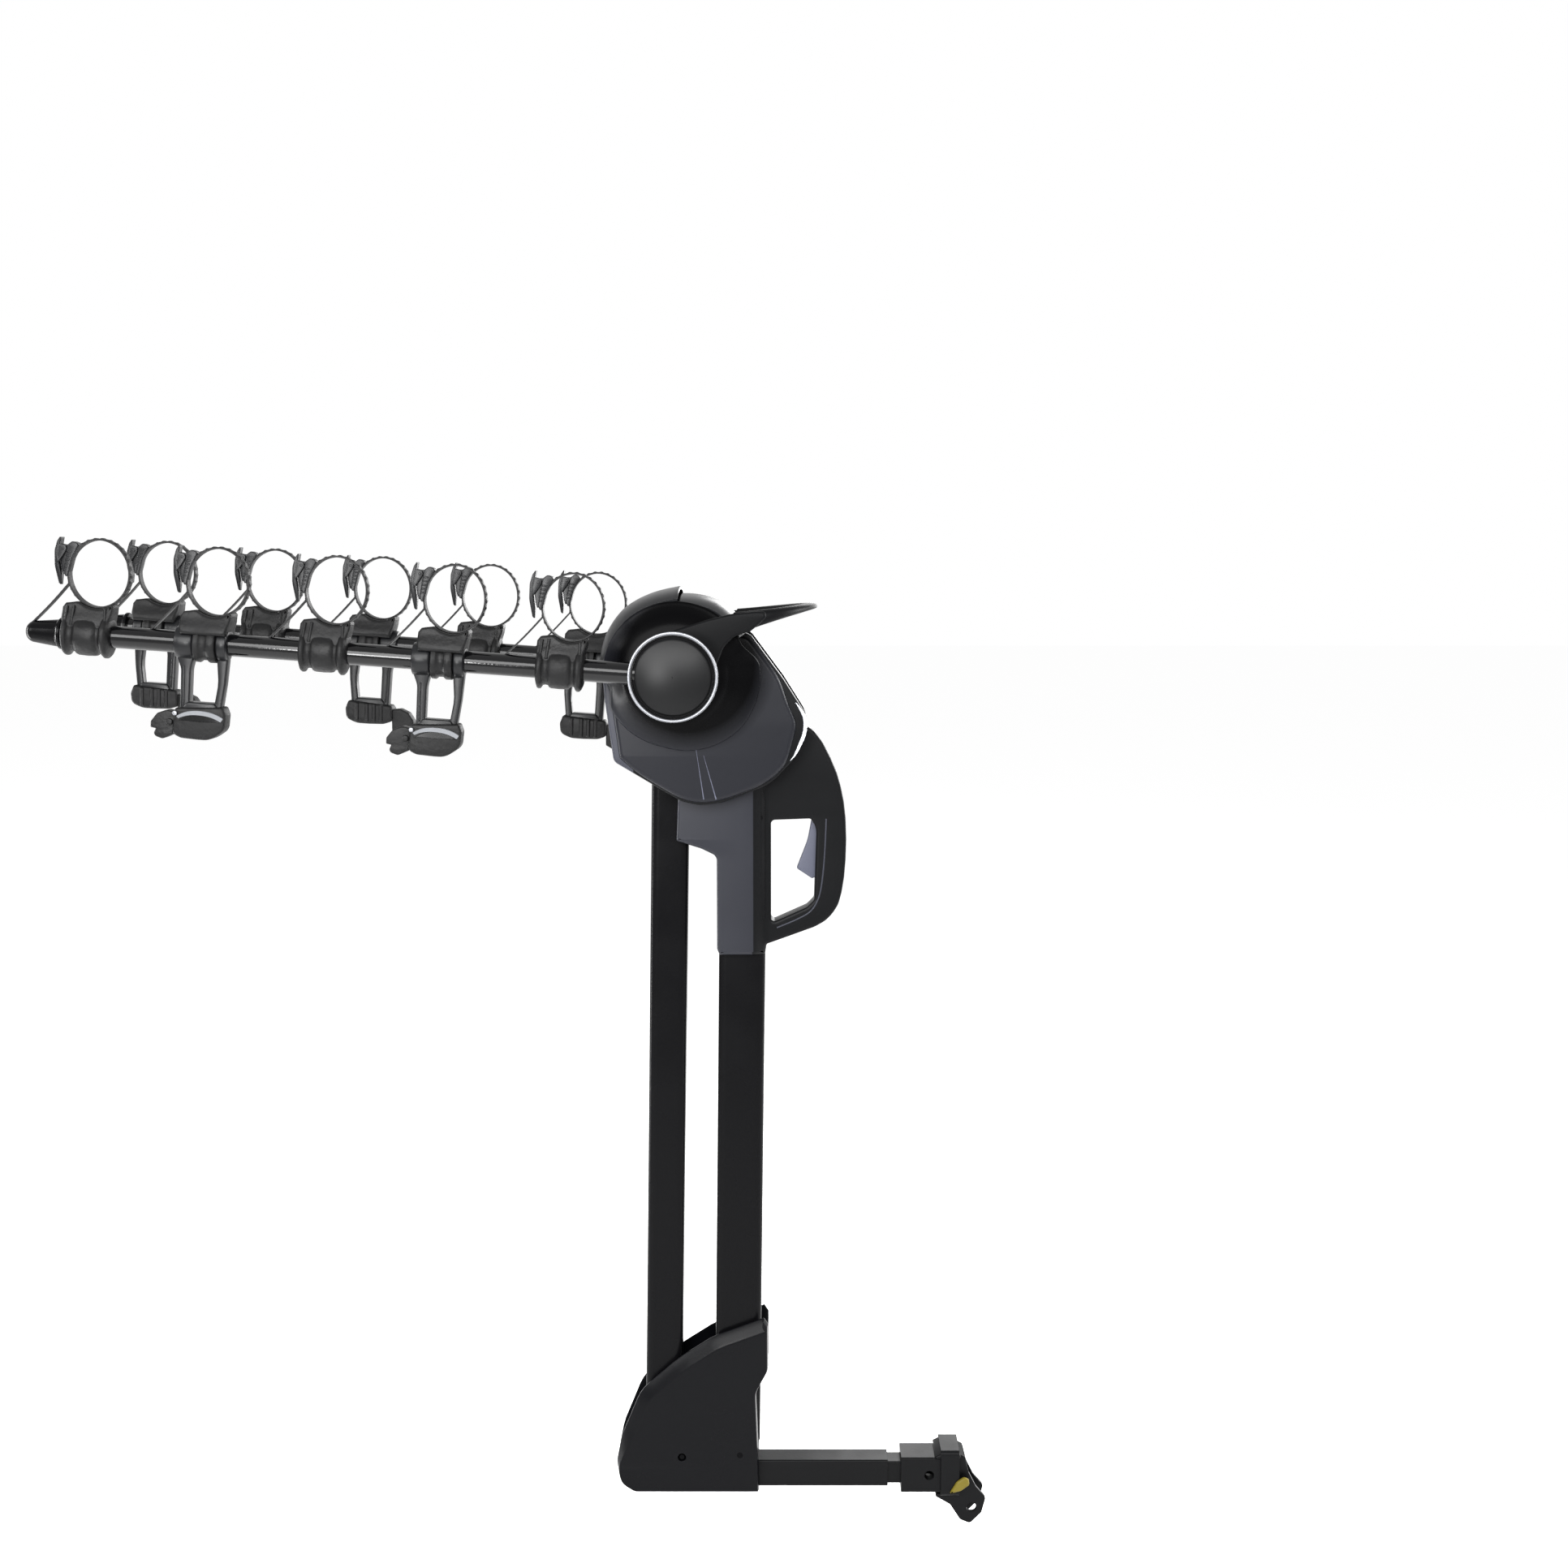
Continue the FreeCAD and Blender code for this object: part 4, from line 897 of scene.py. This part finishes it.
@sided
def housing_half():
    """Half of the grip housing: a slab with the hand opening, thinned towards the handle by a share
    that falls from one to GRIP_HALF over HOUSING_HALF across the neck. The lobe beyond the thick bar
    is hollow out to LOBE_ROOM, which the thin bar swings into."""
    loops = [dense(rounded(HOUSING_OUTLINE, HOUSING_RADII), 5.0),
             dense(rounded(GRIP_OPENING, GRIP_RADII), 4.0)]
    cuts = [LOBE_X - 0.5, LOBE_X + 0.5, *np.linspace(NECK_FROM, NECK_TO, 9)]
    part = sliced(moulded(loops, edge_steps(0.3, HOUSING_HALF, 0, 4.5, 6)), cuts)
    share = soft(ramp(part[0][:, 0], NECK_FROM, NECK_TO - NECK_FROM))
    verts, faces = thinned(part, 1 - (1 - GRIP_HALF / HOUSING_HALF) * share)
    lobe = (verts[:, 0] < LOBE_X) & (verts[:, 1] < LOBE_ROOM)
    verts[:, 1] = np.where(lobe, LOBE_ROOM + 0.02 * verts[:, 1], verts[:, 1])
    return verts, faces


@sided
def grip_bead():
    """Thin bead round the hand opening's handle side: an ellipse carried along a smooth line."""
    return carried(smooth_line(BEAD_LINE, 60), oval(10, 1.1, 1.0, y=GRIP_HALF - 0.2))


class RACK_OT_grip(bpy.types.Operator):
    """Build the grip housing's halves and the trigger"""

    bl_idname = "rack.grip"
    bl_label = "Grip"

    def execute(self, context):
        for side, word in SIDE_NAMES.items():
            obj = piece("grip_" + word, housing_half(side), "slate", "rear_link",
                        ["grip_housing_" + word])
            # Beyond the split the housing takes the darker handle plastic: the handle's own tone, and
            # painted shade over the housing's upper part near the head
            second_finish(obj, "handle", GRIP_SPLIT)
            piece("grip_bead_" + word, grip_bead(side), "rim", "rear_link")
        points = dense(rounded(TRIGGER_OUTLINE, TRIGGER_RADII), 3.0)
        piece("trigger_blade", moulded([points], edge_steps(-6.0, 6.0, 2.0, 2.0, 5)), "trigger", "trigger",
              ["release_trigger"])
        return {"FINISHED"}


# Base covers

BASE_OUTLINE = [(-239, -21), (-240, 40), (-243, 124), (-226, 155), (-226, 221), (-232, 230), (-302, 204),
                (-352, 172), (-404, 126), (-432, 58), (-439, 22), (-434, -8), (-414, -21)]
BASE_RADII = [2, 30, 24, 24, 2, 2, 60, 120, 60, 60, 34, 22, 16]
BASE_HOLE = [(-351, 27), (-343, 27), (-343, 35), (-351, 35)]
BASE_STEPS = [(0, 24.1), (0, 26.2), (0.6, 26.9), (14.6, 34.1), (16.0, 34.7), (18.0, 35.0)]


@sided
def base_cover():
    """Base cover: a slab whose outer edge is a broad flat bevel along the curve that faces up and
    away from the vehicle, fading to a small round elsewhere, with one screw hole."""
    points = dense(rounded(BASE_OUTLINE, BASE_RADII), 5.0)
    normal = inward(points)
    facing = np.clip((normal[:, 0] * 0.72 - normal[:, 1] * 0.55 - 0.12) * 1.7, 0, 1)
    weights = 0.11 + 0.89 * facing * ramp(points[:, 1], 10, 60)
    return moulded([points, rounded(BASE_HOLE, 3.95)], BASE_STEPS, weights)


@sided
def base_screw():
    """Small dark screw head beside the mast's foot: a disc with a rounded edge."""
    return moulded([oval(20, 4.2, 4.2, -266, 34)], edge_steps(33.5, 35.6, 0, 0.6, 3))


class RACK_OT_base(bpy.types.Operator):
    """Build the base covers"""

    bl_idname = "rack.base"
    bl_label = "Base"

    def execute(self, context):
        for side, word in SIDE_NAMES.items():
            piece("base_screw_" + word, base_screw(side), "bolt", "base")
            piece("base_shell_" + word, base_cover(side), "base", "base",
                  ["base_cover_" + word])
        return {"FINISHED"}


# Cradles and straps on the arms, built about the cradle's middle with the arm level

LOOP_SHIFT = 12.0
LOOP_HEIGHT = 80.0
LOOP_WIDE = 40.5
LOOP_TALL = 44.5
STRAP_HALF = 7.0
TAIL_HIGH = (-26.4, 66.0)
TAIL_LOW = (-72.0, 13.8)
TIP_TAIL_LOW = (-72.0, 12.4)
COLLAR_R = 22.4
SLEEVE = [(-31, 14.4), (-31, 18), (-30, 22), (-28.4, 26.2), (-26.5, 27.4), (-24, 27), (-22.6, 24.8),
          (-21, 22.4), (-18, 21.8), (-14.5, 22.4), (-12.8, 25), (-10, 26.1), (0, 26.6), (9, 26.2),
          (12.6, 25.4), (14.6, 22.8), (17, 22.0), (19.4, 23.0), (21, 26.6), (23, 28.4), (26, 28.2),
          (28.4, 25.6), (30.6, 20.6), (31, 18.6), (31, 14.4)]
SHORT_SLEEVE = [(-13, 14.4), (-13, 22.6), (-12, 24.2), (-7, 24.6), (-5.4, 23.6), (-3.4, 21.6), (2.6, 21.4),
                (4.6, 23.4), (6.4, 24.6), (13.6, 24.4), (15, 22.8), (15, 14.4)]


def ellipse_point(turn, grow=0.0):
    """Points of the strap loop's outer edge at these turns above the arm's direction: x and z are
    the half axes, grown outwards, times the cosine and the sine."""
    return np.stack([LOOP_SHIFT + (LOOP_WIDE + grow) * np.cos(turn),
                     LOOP_HEIGHT + (LOOP_TALL + grow) * np.sin(turn)], -1)


def loop_strap(pitch, height):
    """Ladder strap closed in a loop: rails 2.5 mm thick carried round the ellipse, and between
    them rungs whose height is a raised cosine of the run along the strap to the power 1.6. The
    rungs stop where the strap lies in the saddle."""
    path = ellipse_point(np.linspace(0, 2 * math.pi, 260, endpoint=False))
    run = np.concatenate([[0], np.cumsum(np.linalg.norm(np.diff(path, axis=0), axis=1))])
    rungs = round(run[-1] / pitch)
    wave = (0.5 + 0.5 * np.cos(2 * math.pi * rungs * run / (run[-1] + run[1]))) ** 1.6
    top = height * wave * ramp(path[:, 1], 44, 4)
    w = STRAP_HALF
    section = np.zeros((len(path), 10, 2))
    section[:, :, 1] = [-w, -w + 0.7, -5.2, -4.6, 4.6, 5.2, w - 0.7, w, w, -w]
    section[:, :, 0] = [0.4, 0, 0, 0, 0, 0, 0, 0.4, 2.4, 2.4]
    section[:, 3:5, 0] -= top[:, None]
    section[:, (2, 5), 0] -= 0.3 * top[:, None]
    return carried(path, section, closed=True)


def strap_tail(low):
    """Free end of the strap: a thin band from the loop down to the arm, bowed by a half sine, with
    nine raised-cosine waves along its upper face."""
    share = np.linspace(0, 1, 24)
    path = np.linspace(TAIL_HIGH, low, 24)
    path[:, 1] -= 1.6 * np.sin(math.pi * share)
    section = np.zeros((24, 4, 2))
    section[:, :, 1] = [-4.5, 4.5, 4.5, -4.5]
    section[:, 0:2, 0] = -0.2 - 0.25 * (0.5 + 0.5 * np.cos(18 * math.pi * share))[:, None]
    section[:, 2:4, 0] = 1.5
    return carried(path, section)


def saddle(third):
    """Saddle block, two ears with the loop's own curve between them and rounded cheeks. Its flanks
    spread towards the arm as a raised cosine, and the one between a fork's collars is kept clear of
    them."""
    low, half = (11.5, 25.0) if third else (8.0, 19.0)
    dip = ellipse_point(np.radians(np.linspace(-121, -66, 17)), 0.25)
    points = dense(np.concatenate([
        [(-29, low), (-31, 22), (-30.5, 35), (-26.5, 40.5), (-20, 41.5), (-13.5, 42.8)], dip,
        [(31.5, 42.2), (34, 39.5), (32.8, 30), (30, 20), (29, low)]]), 2.5)
    part = moulded([points[::-1]], edge_steps(-half, half, 4.0, 4.0, 6))
    rise = ramp(part[0][:, 2], 14, 24)
    verts, faces = thinned(part, 1 - 0.28 * (0.5 - 0.5 * np.cos(math.pi * rise)))
    if third:
        radius = np.hypot(verts[:, 1], verts[:, 2])
        inside = (radius < COLLAR_R) & (verts[:, 2] > 0)
        verts[:, 2] *= np.where(inside, COLLAR_R / np.maximum(radius, 1e-3), 1.0)
    return verts, faces


def saddle_ribs():
    """Two shallow ribs across the saddle's left flank and one on its right, on both sides."""
    lines = []
    for x_top, x_low, top in ((-23.5, -25.5, 39.5), (-15.0, -17.0, 40.5), (24.5, 25.5, 38.5)):
        path = np.linspace((x_top, top - 2.5), (x_low, 13), 9)
        for side in (-1, 1):
            section = np.stack([oval(8, 1.7, 1.5)] * 9)
            section[:, :, 1] += side * (15.6 + 3.4 * ramp(path[:, 1], 38, -24))[:, None]
            lines.append(carried(path, section))
    return joined(*lines)


def cradle(side, index):
    """One cradle: a ribbed sleeve round the arm with its saddle, shorter where a fork hangs."""
    if index not in THIRD[side]:
        part = joined(along(SLEEVE), saddle(False), saddle_ribs())
    else:
        sleeve = along(SHORT_SLEEVE)
        part = joined(turned_round(sleeve) if side > 0 else sleeve, saddle(True))
    return on_arm(part, side, CRADLE_PLACES[side][index])


class RACK_OT_cradles(bpy.types.Operator):
    """Build the rubber cradles and their ladder straps"""

    bl_idname = "rack.cradles"
    bl_label = "Cradles and straps"

    def execute(self, context):
        sizes = context.scene.rack_sizes
        cradles = [cradle(side, i) for side in SIDE_NAMES for i in range(CRADLE_COUNT)]
        piece("cradle_rubbers", joined(*cradles), "rubber", "arms", ["cradles"], 50)
        loop = loop_strap(sizes.tooth_pitch / MM, sizes.tooth_height / MM)
        looped = [joined(loop, strap_tail(low)) for low in [TAIL_LOW] * (CRADLE_COUNT - 1) + [TIP_TAIL_LOW]]
        for side, word in SIDE_NAMES.items():
            straps = [on_arm(part, side, place) for part, place in zip(looped, CRADLE_PLACES[side])]
            piece("ladder_straps_" + word, joined(*straps), "strap", "arms",
                  [word + "_straps"], 50)
        return {"FINISHED"}


# Buckles, built about the lever's pivot with the strap running down

BUCKLE_PIVOT = (-33.8, 0, 109.0)
BUCKLE_LEAN = 8.0
BUCKLE_PLATE = [(5.2, -30), (4.6, -8), (4.6, 6), (9.5, 11.5), (16.5, 10.5), (18.2, 7), (13, -10), (11, -38)]
BUCKLE_WEB = [(-4.2, -4.6), (-4.2, 4.2), (4, 6), (8, 6), (8, -30), (4.5, -33), (1.5, -27), (-1.6, -18),
              (-3.4, -10)]
BLADE_LEAF = [(-5.6, 16.5), (-9.4, 8), (-10.6, -4), (-7.4, -24), (0.6, -45), (4.0, -47), (2.4, -34),
              (-2.6, -19), (-5.5, -9)]
BLADE_CHEEK = [(-6.5, 5), (2.4, 4.8), (4.2, 0), (2.4, -6), (-4, -20), (-6.5, -13)]


def on_buckle(part, side, index):
    """Carries a part of a buckle to its loop."""
    return on_arm(leaned(part, BUCKLE_LEAN, BUCKLE_PIVOT), side, CRADLE_PLACES[side][index])


def buckle_body(side, index):
    """Ratchet body: a plate that narrows down the strap, a web to the pin, the pin and five ribs."""
    plate = flat_part(BUCKLE_PLATE, [1, 4, 3, 4, 3, 2, 8, 2], -8, 8, 1.2)
    web = flat_part(BUCKLE_WEB, [4, 4, 2, 1, 1, 1, 6, 6, 2], -3.9, 3.9, 0.6)
    pin = flat_part(oval(20, 1.9, 1.9), 0, -8.6, 8.6, 0.4)
    ribs = [flat_part([(6, z), (6, z + 1.6), (12 + 0.12 * z, z + 2.4), (12 + 0.12 * z, z + 0.8)], 0.3,
                      -8.5, 8.5, 0.3) for z in (-4, -9, -14, -19, -24)]
    return on_buckle(joined(plate, web, pin, *ribs), side, index)


def buckle_blade(side, index):
    """Ratchet lever: a leaf that narrows towards its tip with a quarter sine, and its two cheeks."""
    leaf = flat_part(BLADE_LEAF, [0.8, 4, 14, 20, 1.6, 0.9, 8, 8, 1], -8, 8, 1.0)
    leaf = thinned(leaf, 0.42 + 0.58 * np.sin(ramp(leaf[0][:, 2], -47, 40) * math.pi / 2))
    cheek = flat_part(BLADE_CHEEK, [0.5, 2.6, 2.6, 2.6, 0.5, 0.5], 4.5, 8, 0.6)
    return on_buckle(joined(leaf, cheek, mirrored(cheek)), side, index)


class RACK_OT_buckles(bpy.types.Operator):
    """Build the ratchet buckles and their levers"""

    bl_idname = "rack.buckles"
    bl_label = "Buckles"

    def execute(self, context):
        places = [(side, i) for side in SIDE_NAMES for i in range(CRADLE_COUNT)]
        piece("ratchet_bodies", joined(*(buckle_body(*place) for place in places)), "buckle", "arms",
              ["buckles"])
        for side, i in places:
            label = "%s_%d" % (SIDE_NAMES[side], i + 1)
            piece("ratchet_blade_" + label, buckle_blade(side, i), "buckle", "buckle_lever_" + label,
                  ["buckle_lever_" + label])
        return {"FINISHED"}


# Hanging cradles, built about the cradle's middle with the arm level

FORK_LOW = -88.0
FORK_CROSS = -76.0
COLLAR_LEFT = [(-38, 14.5), (-38, 18.5), (-37, 20.6), (-34, 21.6), (-30, 22.0), (-24, 21.9), (-18, 21.7),
               (-15, 20.8), (-14, 19.5), (-14, 14.5)]
COLLAR_RIGHT = [(15.6, 14.5), (15.6, 19.5), (16.6, 21), (19, 21.9), (25, 22.0), (28, 21.2), (29.6, 19),
                (29.6, 14.5)]
LEG_LEFT = [(-37, -4), (-37.4, -15), (-30, -33), (-29, FORK_LOW), (-17.5, FORK_LOW), (-17.5, -34),
            (-14.5, -20), (-14.5, -4)]
LEG_RIGHT = [(16, -4), (29.4, -4), (29.6, -20), (27.6, -50), (23, FORK_LOW), (13, FORK_LOW),
             (18.4, -50), (16, -24)]
NEAR_PAD = [(-35, -84), (-37, -118), (-26, -123), (-4, -124), (12, -124), (30, -110), (31, -90), (27, -80)]
FAR_PAD = [(-35, -84), (-37, -106), (-24, -111), (-4, -112), (14, -112), (29, -106), (31, -92), (27, -80)]
PAD_BLOCK = [(-58, -93), (-66, -104), (-66, -112), (-59, -113), (-63, -122), (-50, -126), (-36, -119),
             (-34, -90), (-46, -88)]


def fork():
    """Hanging fork: two collars, legs with a raised inner line, and the cross bar."""
    left = flat_part(LEG_LEFT, [1, 12, 24, 2, 2, 20, 8, 1], -9, 9, 1.6)
    right = flat_part(LEG_RIGHT, [1, 1, 14, 40, 4, 4, 40, 8], -8, 8, 1.6)
    bar = flat_part([(-27, FORK_LOW), (-20, FORK_CROSS), (16, FORK_CROSS), (22, FORK_LOW)], [1, 6, 6, 1],
                    -12, 12, 2)
    path = np.linspace((-25.5, -30), (-24.5, -80), 12)
    lines = [carried(path, oval(8, 0.9, 0.8, y=y)) for y in (-9.3, 9.3)]
    return joined(along(COLLAR_LEFT), along(COLLAR_RIGHT), left, right, bar, *lines)


def faced(part, side, index):
    """Sets a fork's part at its cradle; on the far arm it hangs the other way round."""
    return on_arm(turned_round(part) if side > 0 else part, side, CRADLE_PLACES[side][index])


def pad_body(side):
    """Rubber pad whose outline rounds down to a toe; the far ones are flatter and carry four ribs on
    the face that looks across to the near arm."""
    if side < 0:
        return flat_part(NEAR_PAD, [5, 8, 16, 30, 26, 14, 8, 4], -15, 15, 3.5)
    ribs = [flat_part([(x, -83), (x - 1, -109), (x + 4, -109), (x + 5, -83)], 1.5, 13, 16.4, 1.4)
            for x in (-22, -12, -2, 12)]
    return joined(flat_part(FAR_PAD, [5, 8, 16, 30, 26, 10, 8, 4], -15, 15, 3.5), *ribs)


def lens_part(x, rows):
    """Strip along x whose section has a corner for each row of (height, depth)."""
    points = [np.stack([x, np.broadcast_to(y, x.shape), z], 1) for z, y in rows]
    return grid(np.stack(points, 1))


def pad_band():
    """Light band on the pad's outer face: a strip that arches from the ratchet block over to the
    toe, its two edges falling with the power 2.4 of the way from its middle, 3 mm proud of the pad."""
    x = np.linspace(-31, 28, 26)
    u = (x + 1.5) / 29.5
    top = -86.0 - 8.0 * np.abs(u) ** 2.4
    low = top - (5.2 + 0.9 * (u + 1)) * np.clip((1.03 - np.abs(u)) * 9, 0.3, 1)
    y = -16.2 - 2.2 * (1 - u ** 2)
    return lens_part(x, ((top, y + 1.6), (top - 0.4, y), (low + 0.4, y - 0.4), (low, y + 1.6)))


def pad_band_shade():
    """Dark lens under the band, painted shade in the gap below it. Its upper edge falls with the power 2.4
    of the way from its middle, and its height with the square."""
    x = np.linspace(-28, 26, 22)
    u = (x + 1) / 27
    top = -92.0 - 8.0 * np.abs(u) ** 2.4
    low = top - 8.5 * (1 - u ** 2) - 0.2
    return lens_part(x, ((top, -14.0), (top, -15.5), (low, -15.7), (low, -14.0)))


def square(x, z, half):
    """Corners of a square of this half width about a place."""
    return [(x - half, z + half), (x - half, z - half), (x + half, z - half), (x + half, z + half)]


class RACK_OT_forks(bpy.types.Operator):
    """Build the hanging cradles: forks, pads, bands and ratchet blocks"""

    bl_idname = "rack.forks"
    bl_label = "Hanging cradles"

    def execute(self, context):
        block = joined(flat_part(PAD_BLOCK, [6, 5, 2, 1, 5, 6, 2, 3, 6], -11, 11, 2.0),
                       flat_part(square(-41, -103, 4), 3.4, -14.2, -9, 1.2))
        screw = flat_part(square(-33, -91, 3), 2.6, -18.6, -14, 0.8)
        for side, i in ((side, i) for side in SIDE_NAMES for i in THIRD[side]):
            label = "%s_%d" % (SIDE_NAMES[side], i + 1)
            body = "third_cradle_" + label
            for name, part, finish, slot, nodes in (
                    ("fork_", fork(), "buckle", "buckle_plastic", [body]),
                    ("pad_", joined(pad_body(side), block), "rubber", "cradle_rubber",
                     ["third_pad_" + label]),
                    ("pad_band_", pad_band(), "band", "cradle_rubber", ()),
                    # Gloss black lens under the band: painted shade
                    ("pad_gap_", pad_band_shade(), "gloss", "cradle_rubber", ()),
                    ("pad_screw_", screw, "silver", "pin_steel", ())):
                piece(name + label, faced(part, side, i), finish, body, nodes)
        return {"FINISHED"}


# Mast bars: body, joint at the foot, half widths along X and Y, and lean in degrees

BARS = {"rear_bar": ("rear_link", "mast_glide", 31.75, 18.0, 0.68),
        "front_bar": ("front_link", "front_link_swing", 25.4, 17.0, 0.95)}
BAR_CORNER = np.array((11.0, 8.0))


def bar_skin(name):
    """Square bar with soft corners between the ends of its node: every corner is a quarter ellipse,
    and the section leans with the bar about its foot."""
    _, joint, half_x, half_y, lean = BARS[name]
    foot = np.array(JOINTS[joint]["pos_m"]) / MM
    low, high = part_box(name)
    t = np.radians(np.linspace(0, 90, 9))
    corner = (half_x, half_y) - BAR_CORNER * (1 - np.stack([np.cos(t), np.sin(t)], 1))
    ring = np.concatenate([corner, corner[::-1] * [-1, 1], -corner, corner[::-1] * [1, -1]])
    z = np.linspace(low[2] / MM + 0.3, high[2] / MM - 0.3, 24)[:, None]
    x = foot[0] + ring[:, 0] + (z - foot[2]) * math.tan(math.radians(lean))
    return grid(np.stack([x, np.broadcast_to(ring[:, 1], x.shape), np.broadcast_to(z, x.shape)], -1))


class RACK_OT_bars(bpy.types.Operator):
    """Build the two mast bars"""

    bl_idname = "rack.bars"
    bl_label = "Mast bars"

    def execute(self, context):
        for name, (body, *_) in BARS.items():
            piece(name + "_skin", bar_skin(name), "bar", body, [name])
        return {"FINISHED"}


# Arm tips

ARM_END = -786.0
TIP_PROFILE = [(0.4, 14.4), (0.4, 19.4), (-0.6, 20.4), (-3.5, 20.4), (-5, 19.2), (-6.5, 17.6), (-9, 17.4),
               (-22, 15.8)]


def arm_tip(side):
    """Bullet cap: a flange, then a cone whose end rounds over as a quarter ellipse."""
    nose = [(-36 - 12 * math.sin(a), 12.5 * math.cos(a) + 1.5) for a in np.linspace(0, math.pi / 2, 12)[:-1]]
    return on_arm(along(np.array(TIP_PROFILE + nose + [(-48, 1.2)]) + (ARM_END, 0), 48), side)


class RACK_OT_tips(bpy.types.Operator):
    """Build the arms' end caps"""

    bl_idname = "rack.tips"
    bl_label = "Arm tips"

    def execute(self, context):
        piece("tip_caps", joined(arm_tip(-1), arm_tip(1)), "gloss", "arms", ["arm_tips"])
        return {"FINISHED"}


# Fold lever, about the hub

LEVER_INNER = 99.3
LEVER_OUTER = 106.9
LEVER_LEG = [(-34, 28), (-20, 52), (9, 62), (44, 73), (75, 80.5), (106, 83.5), (119, 83), (120, 76),
             (112, 68), (99, 57.5), (79, 51.5), (65, 38.5), (57.5, 20), (46, -14), (10, 0)]
LEG_RADII = [12, 22, 60, 60, 60, 20, 3, 3, 10, 10, 24, 24, 40, 20, 10]
# The bow's middle, its length and half width, and the legs' back end
BOW_X = 105.0
BOW_LONG = 71.0
BOW_HALF = 94.0
LEG_BACK = 78.0


def lever_loop():
    """Bail of the fold lever: a rail carried round a half ellipse seen from above, whose legs run
    out to the blades' plane with the square of the way back. The rail's half width shrinks along
    the legs with the power 1.4 of the way, its half depth grows from the tip with the power 1.35,
    and the whole rises steadily."""
    turns = np.radians(np.linspace(-90, 90, 61))
    bow = np.stack([BOW_X + BOW_LONG * np.cos(turns), BOW_HALF * np.sin(turns)], 1)
    x = np.linspace(LEG_BACK, BOW_X - 2, 12)
    near = np.stack([x, -BOW_HALF - 9 * ((BOW_X - x) / (BOW_X - LEG_BACK)) ** 2], 1)
    path = np.concatenate([near, bow, near[::-1] * [1, -1]])
    tangent = unit(np.gradient(path, axis=0))[:, None]
    x, y = path[:, :1], path[:, 1:]
    wide = 12.0 - 8.2 * ramp(x, BOW_X, LEG_BACK - BOW_X) ** 1.4
    deep = 3.3 + 12.2 * ramp(x, 188, -113) ** 1.35
    ring = oval(24, 1, 1)
    across, up = (np.sign(ring) * np.abs(ring) ** (0.7, 0.8)).T
    points = np.stack([x + tangent[..., 1] * wide * across, y - tangent[..., 0] * wide * across,
                       62.9 + 0.148 * x + deep * up - (deep - 3.2) * 0.6], -1)
    return grid(points + [HUB[0], 0, HUB[2]])


@sided
def lever_leg():
    """Leg of the bail: a swept blade that leaves the ring on the axle and runs up into the rail."""
    points = dense(rounded(LEVER_LEG, LEG_RADII), 3.0) + HUB[[0, 2]]
    disc = oval(72, 34, 34, HUB[0], HUB[2])
    return joined(moulded([points], edge_steps(LEVER_INNER, LEVER_OUTER + 0.8, 1.6, 3.4, 6)),
                  moulded([disc], edge_steps(LEVER_INNER, LEVER_OUTER, 1.0, 1.0, 3)))


class RACK_OT_lever(bpy.types.Operator):
    """Build the fold lever"""

    bl_idname = "rack.lever"
    bl_label = "Fold lever"

    def execute(self, context):
        piece("fold_bail", joined(lever_loop(), lever_leg(-1), lever_leg(1)), "lever", "fold_lever",
              ["fold_lever"])
        return {"FINISHED"}


# Hitch end

TAB_OUTLINE = [(28, -23), (44, -19), (56, -10), (55, -2), (48, 1), (38, -6)]
CAP_OUTLINE = [(6, 27.5), (16, 32.5), (33, 35), (41, 34), (44, 28), (42, 25), (10, 25)]


class RACK_OT_hitch(bpy.types.Operator):
    """Build the wedge-shaped cap on the hitch collar and its tab"""

    bl_idname = "rack.hitch"
    bl_label = "Hitch end"

    def execute(self, context):
        points = dense(rounded(TAB_OUTLINE, [1, 6, 5, 4, 5, 8]), 1.5)
        tab = moulded([points], [(inset, -depth) for inset, depth in edge_steps(31.0, 35.4, 0, 2.6, 7)])
        piece("tab_yellow", tab, "yellow", "base", ["yellow_tab"], 60)
        cap = flat_part(CAP_OUTLINE, [2, 8, 6, 2.5, 2, 1, 1], -29, 29, 2.5)
        piece("collar_cap", cap, "paint", "base")
        return {"FINISHED"}


class RACK_PT_panel(bpy.types.Panel):
    """Sidebar panel that lists the steps of the build in order"""

    bl_idname = "RACK_PT_panel"
    bl_label = "Hitch rack"
    bl_space_type = "VIEW_3D"
    bl_region_type = "UI"
    bl_category = "Rack"

    def draw(self, context):
        """Draw both groups of settings and a button for each step"""
        layout = self.layout
        for settings in (context.scene.rack_sizes, context.scene.rack_colours):
            column = layout.column(align=True)
            for key in settings.__annotations__:
                column.prop(settings, key)
        column = layout.column()
        for step in STEPS:
            column.operator("rack." + step)


CLASSES = [RackSizes, RackColours, RACK_OT_frame_finish, RACK_OT_head, RACK_OT_hub, RACK_OT_grip,
           RACK_OT_base, RACK_OT_bars, RACK_OT_cradles, RACK_OT_buckles, RACK_OT_forks, RACK_OT_tips,
           RACK_OT_lever, RACK_OT_hitch, RACK_OT_stage, RACK_PT_panel]
STEPS = ["frame_finish", "head", "hub", "grip", "base", "bars", "cradles", "buckles", "forks", "tips",
         "lever", "hitch", "stage"]


def register():
    """Adds the classes and the two groups of settings to Blender."""
    for one in CLASSES:
        bpy.utils.register_class(one)
    bpy.types.Scene.rack_sizes = bpy.props.PointerProperty(type=RackSizes)
    bpy.types.Scene.rack_colours = bpy.props.PointerProperty(type=RackColours)


def unregister():
    """Takes them out again."""
    del bpy.types.Scene.rack_colours
    del bpy.types.Scene.rack_sizes
    for one in reversed(CLASSES):
        bpy.utils.unregister_class(one)


def main():
    """Registers the classes and runs every step in order."""
    register()
    for step in STEPS:
        getattr(bpy.ops.rack, step)()


if __name__ == "__main__":
    main()
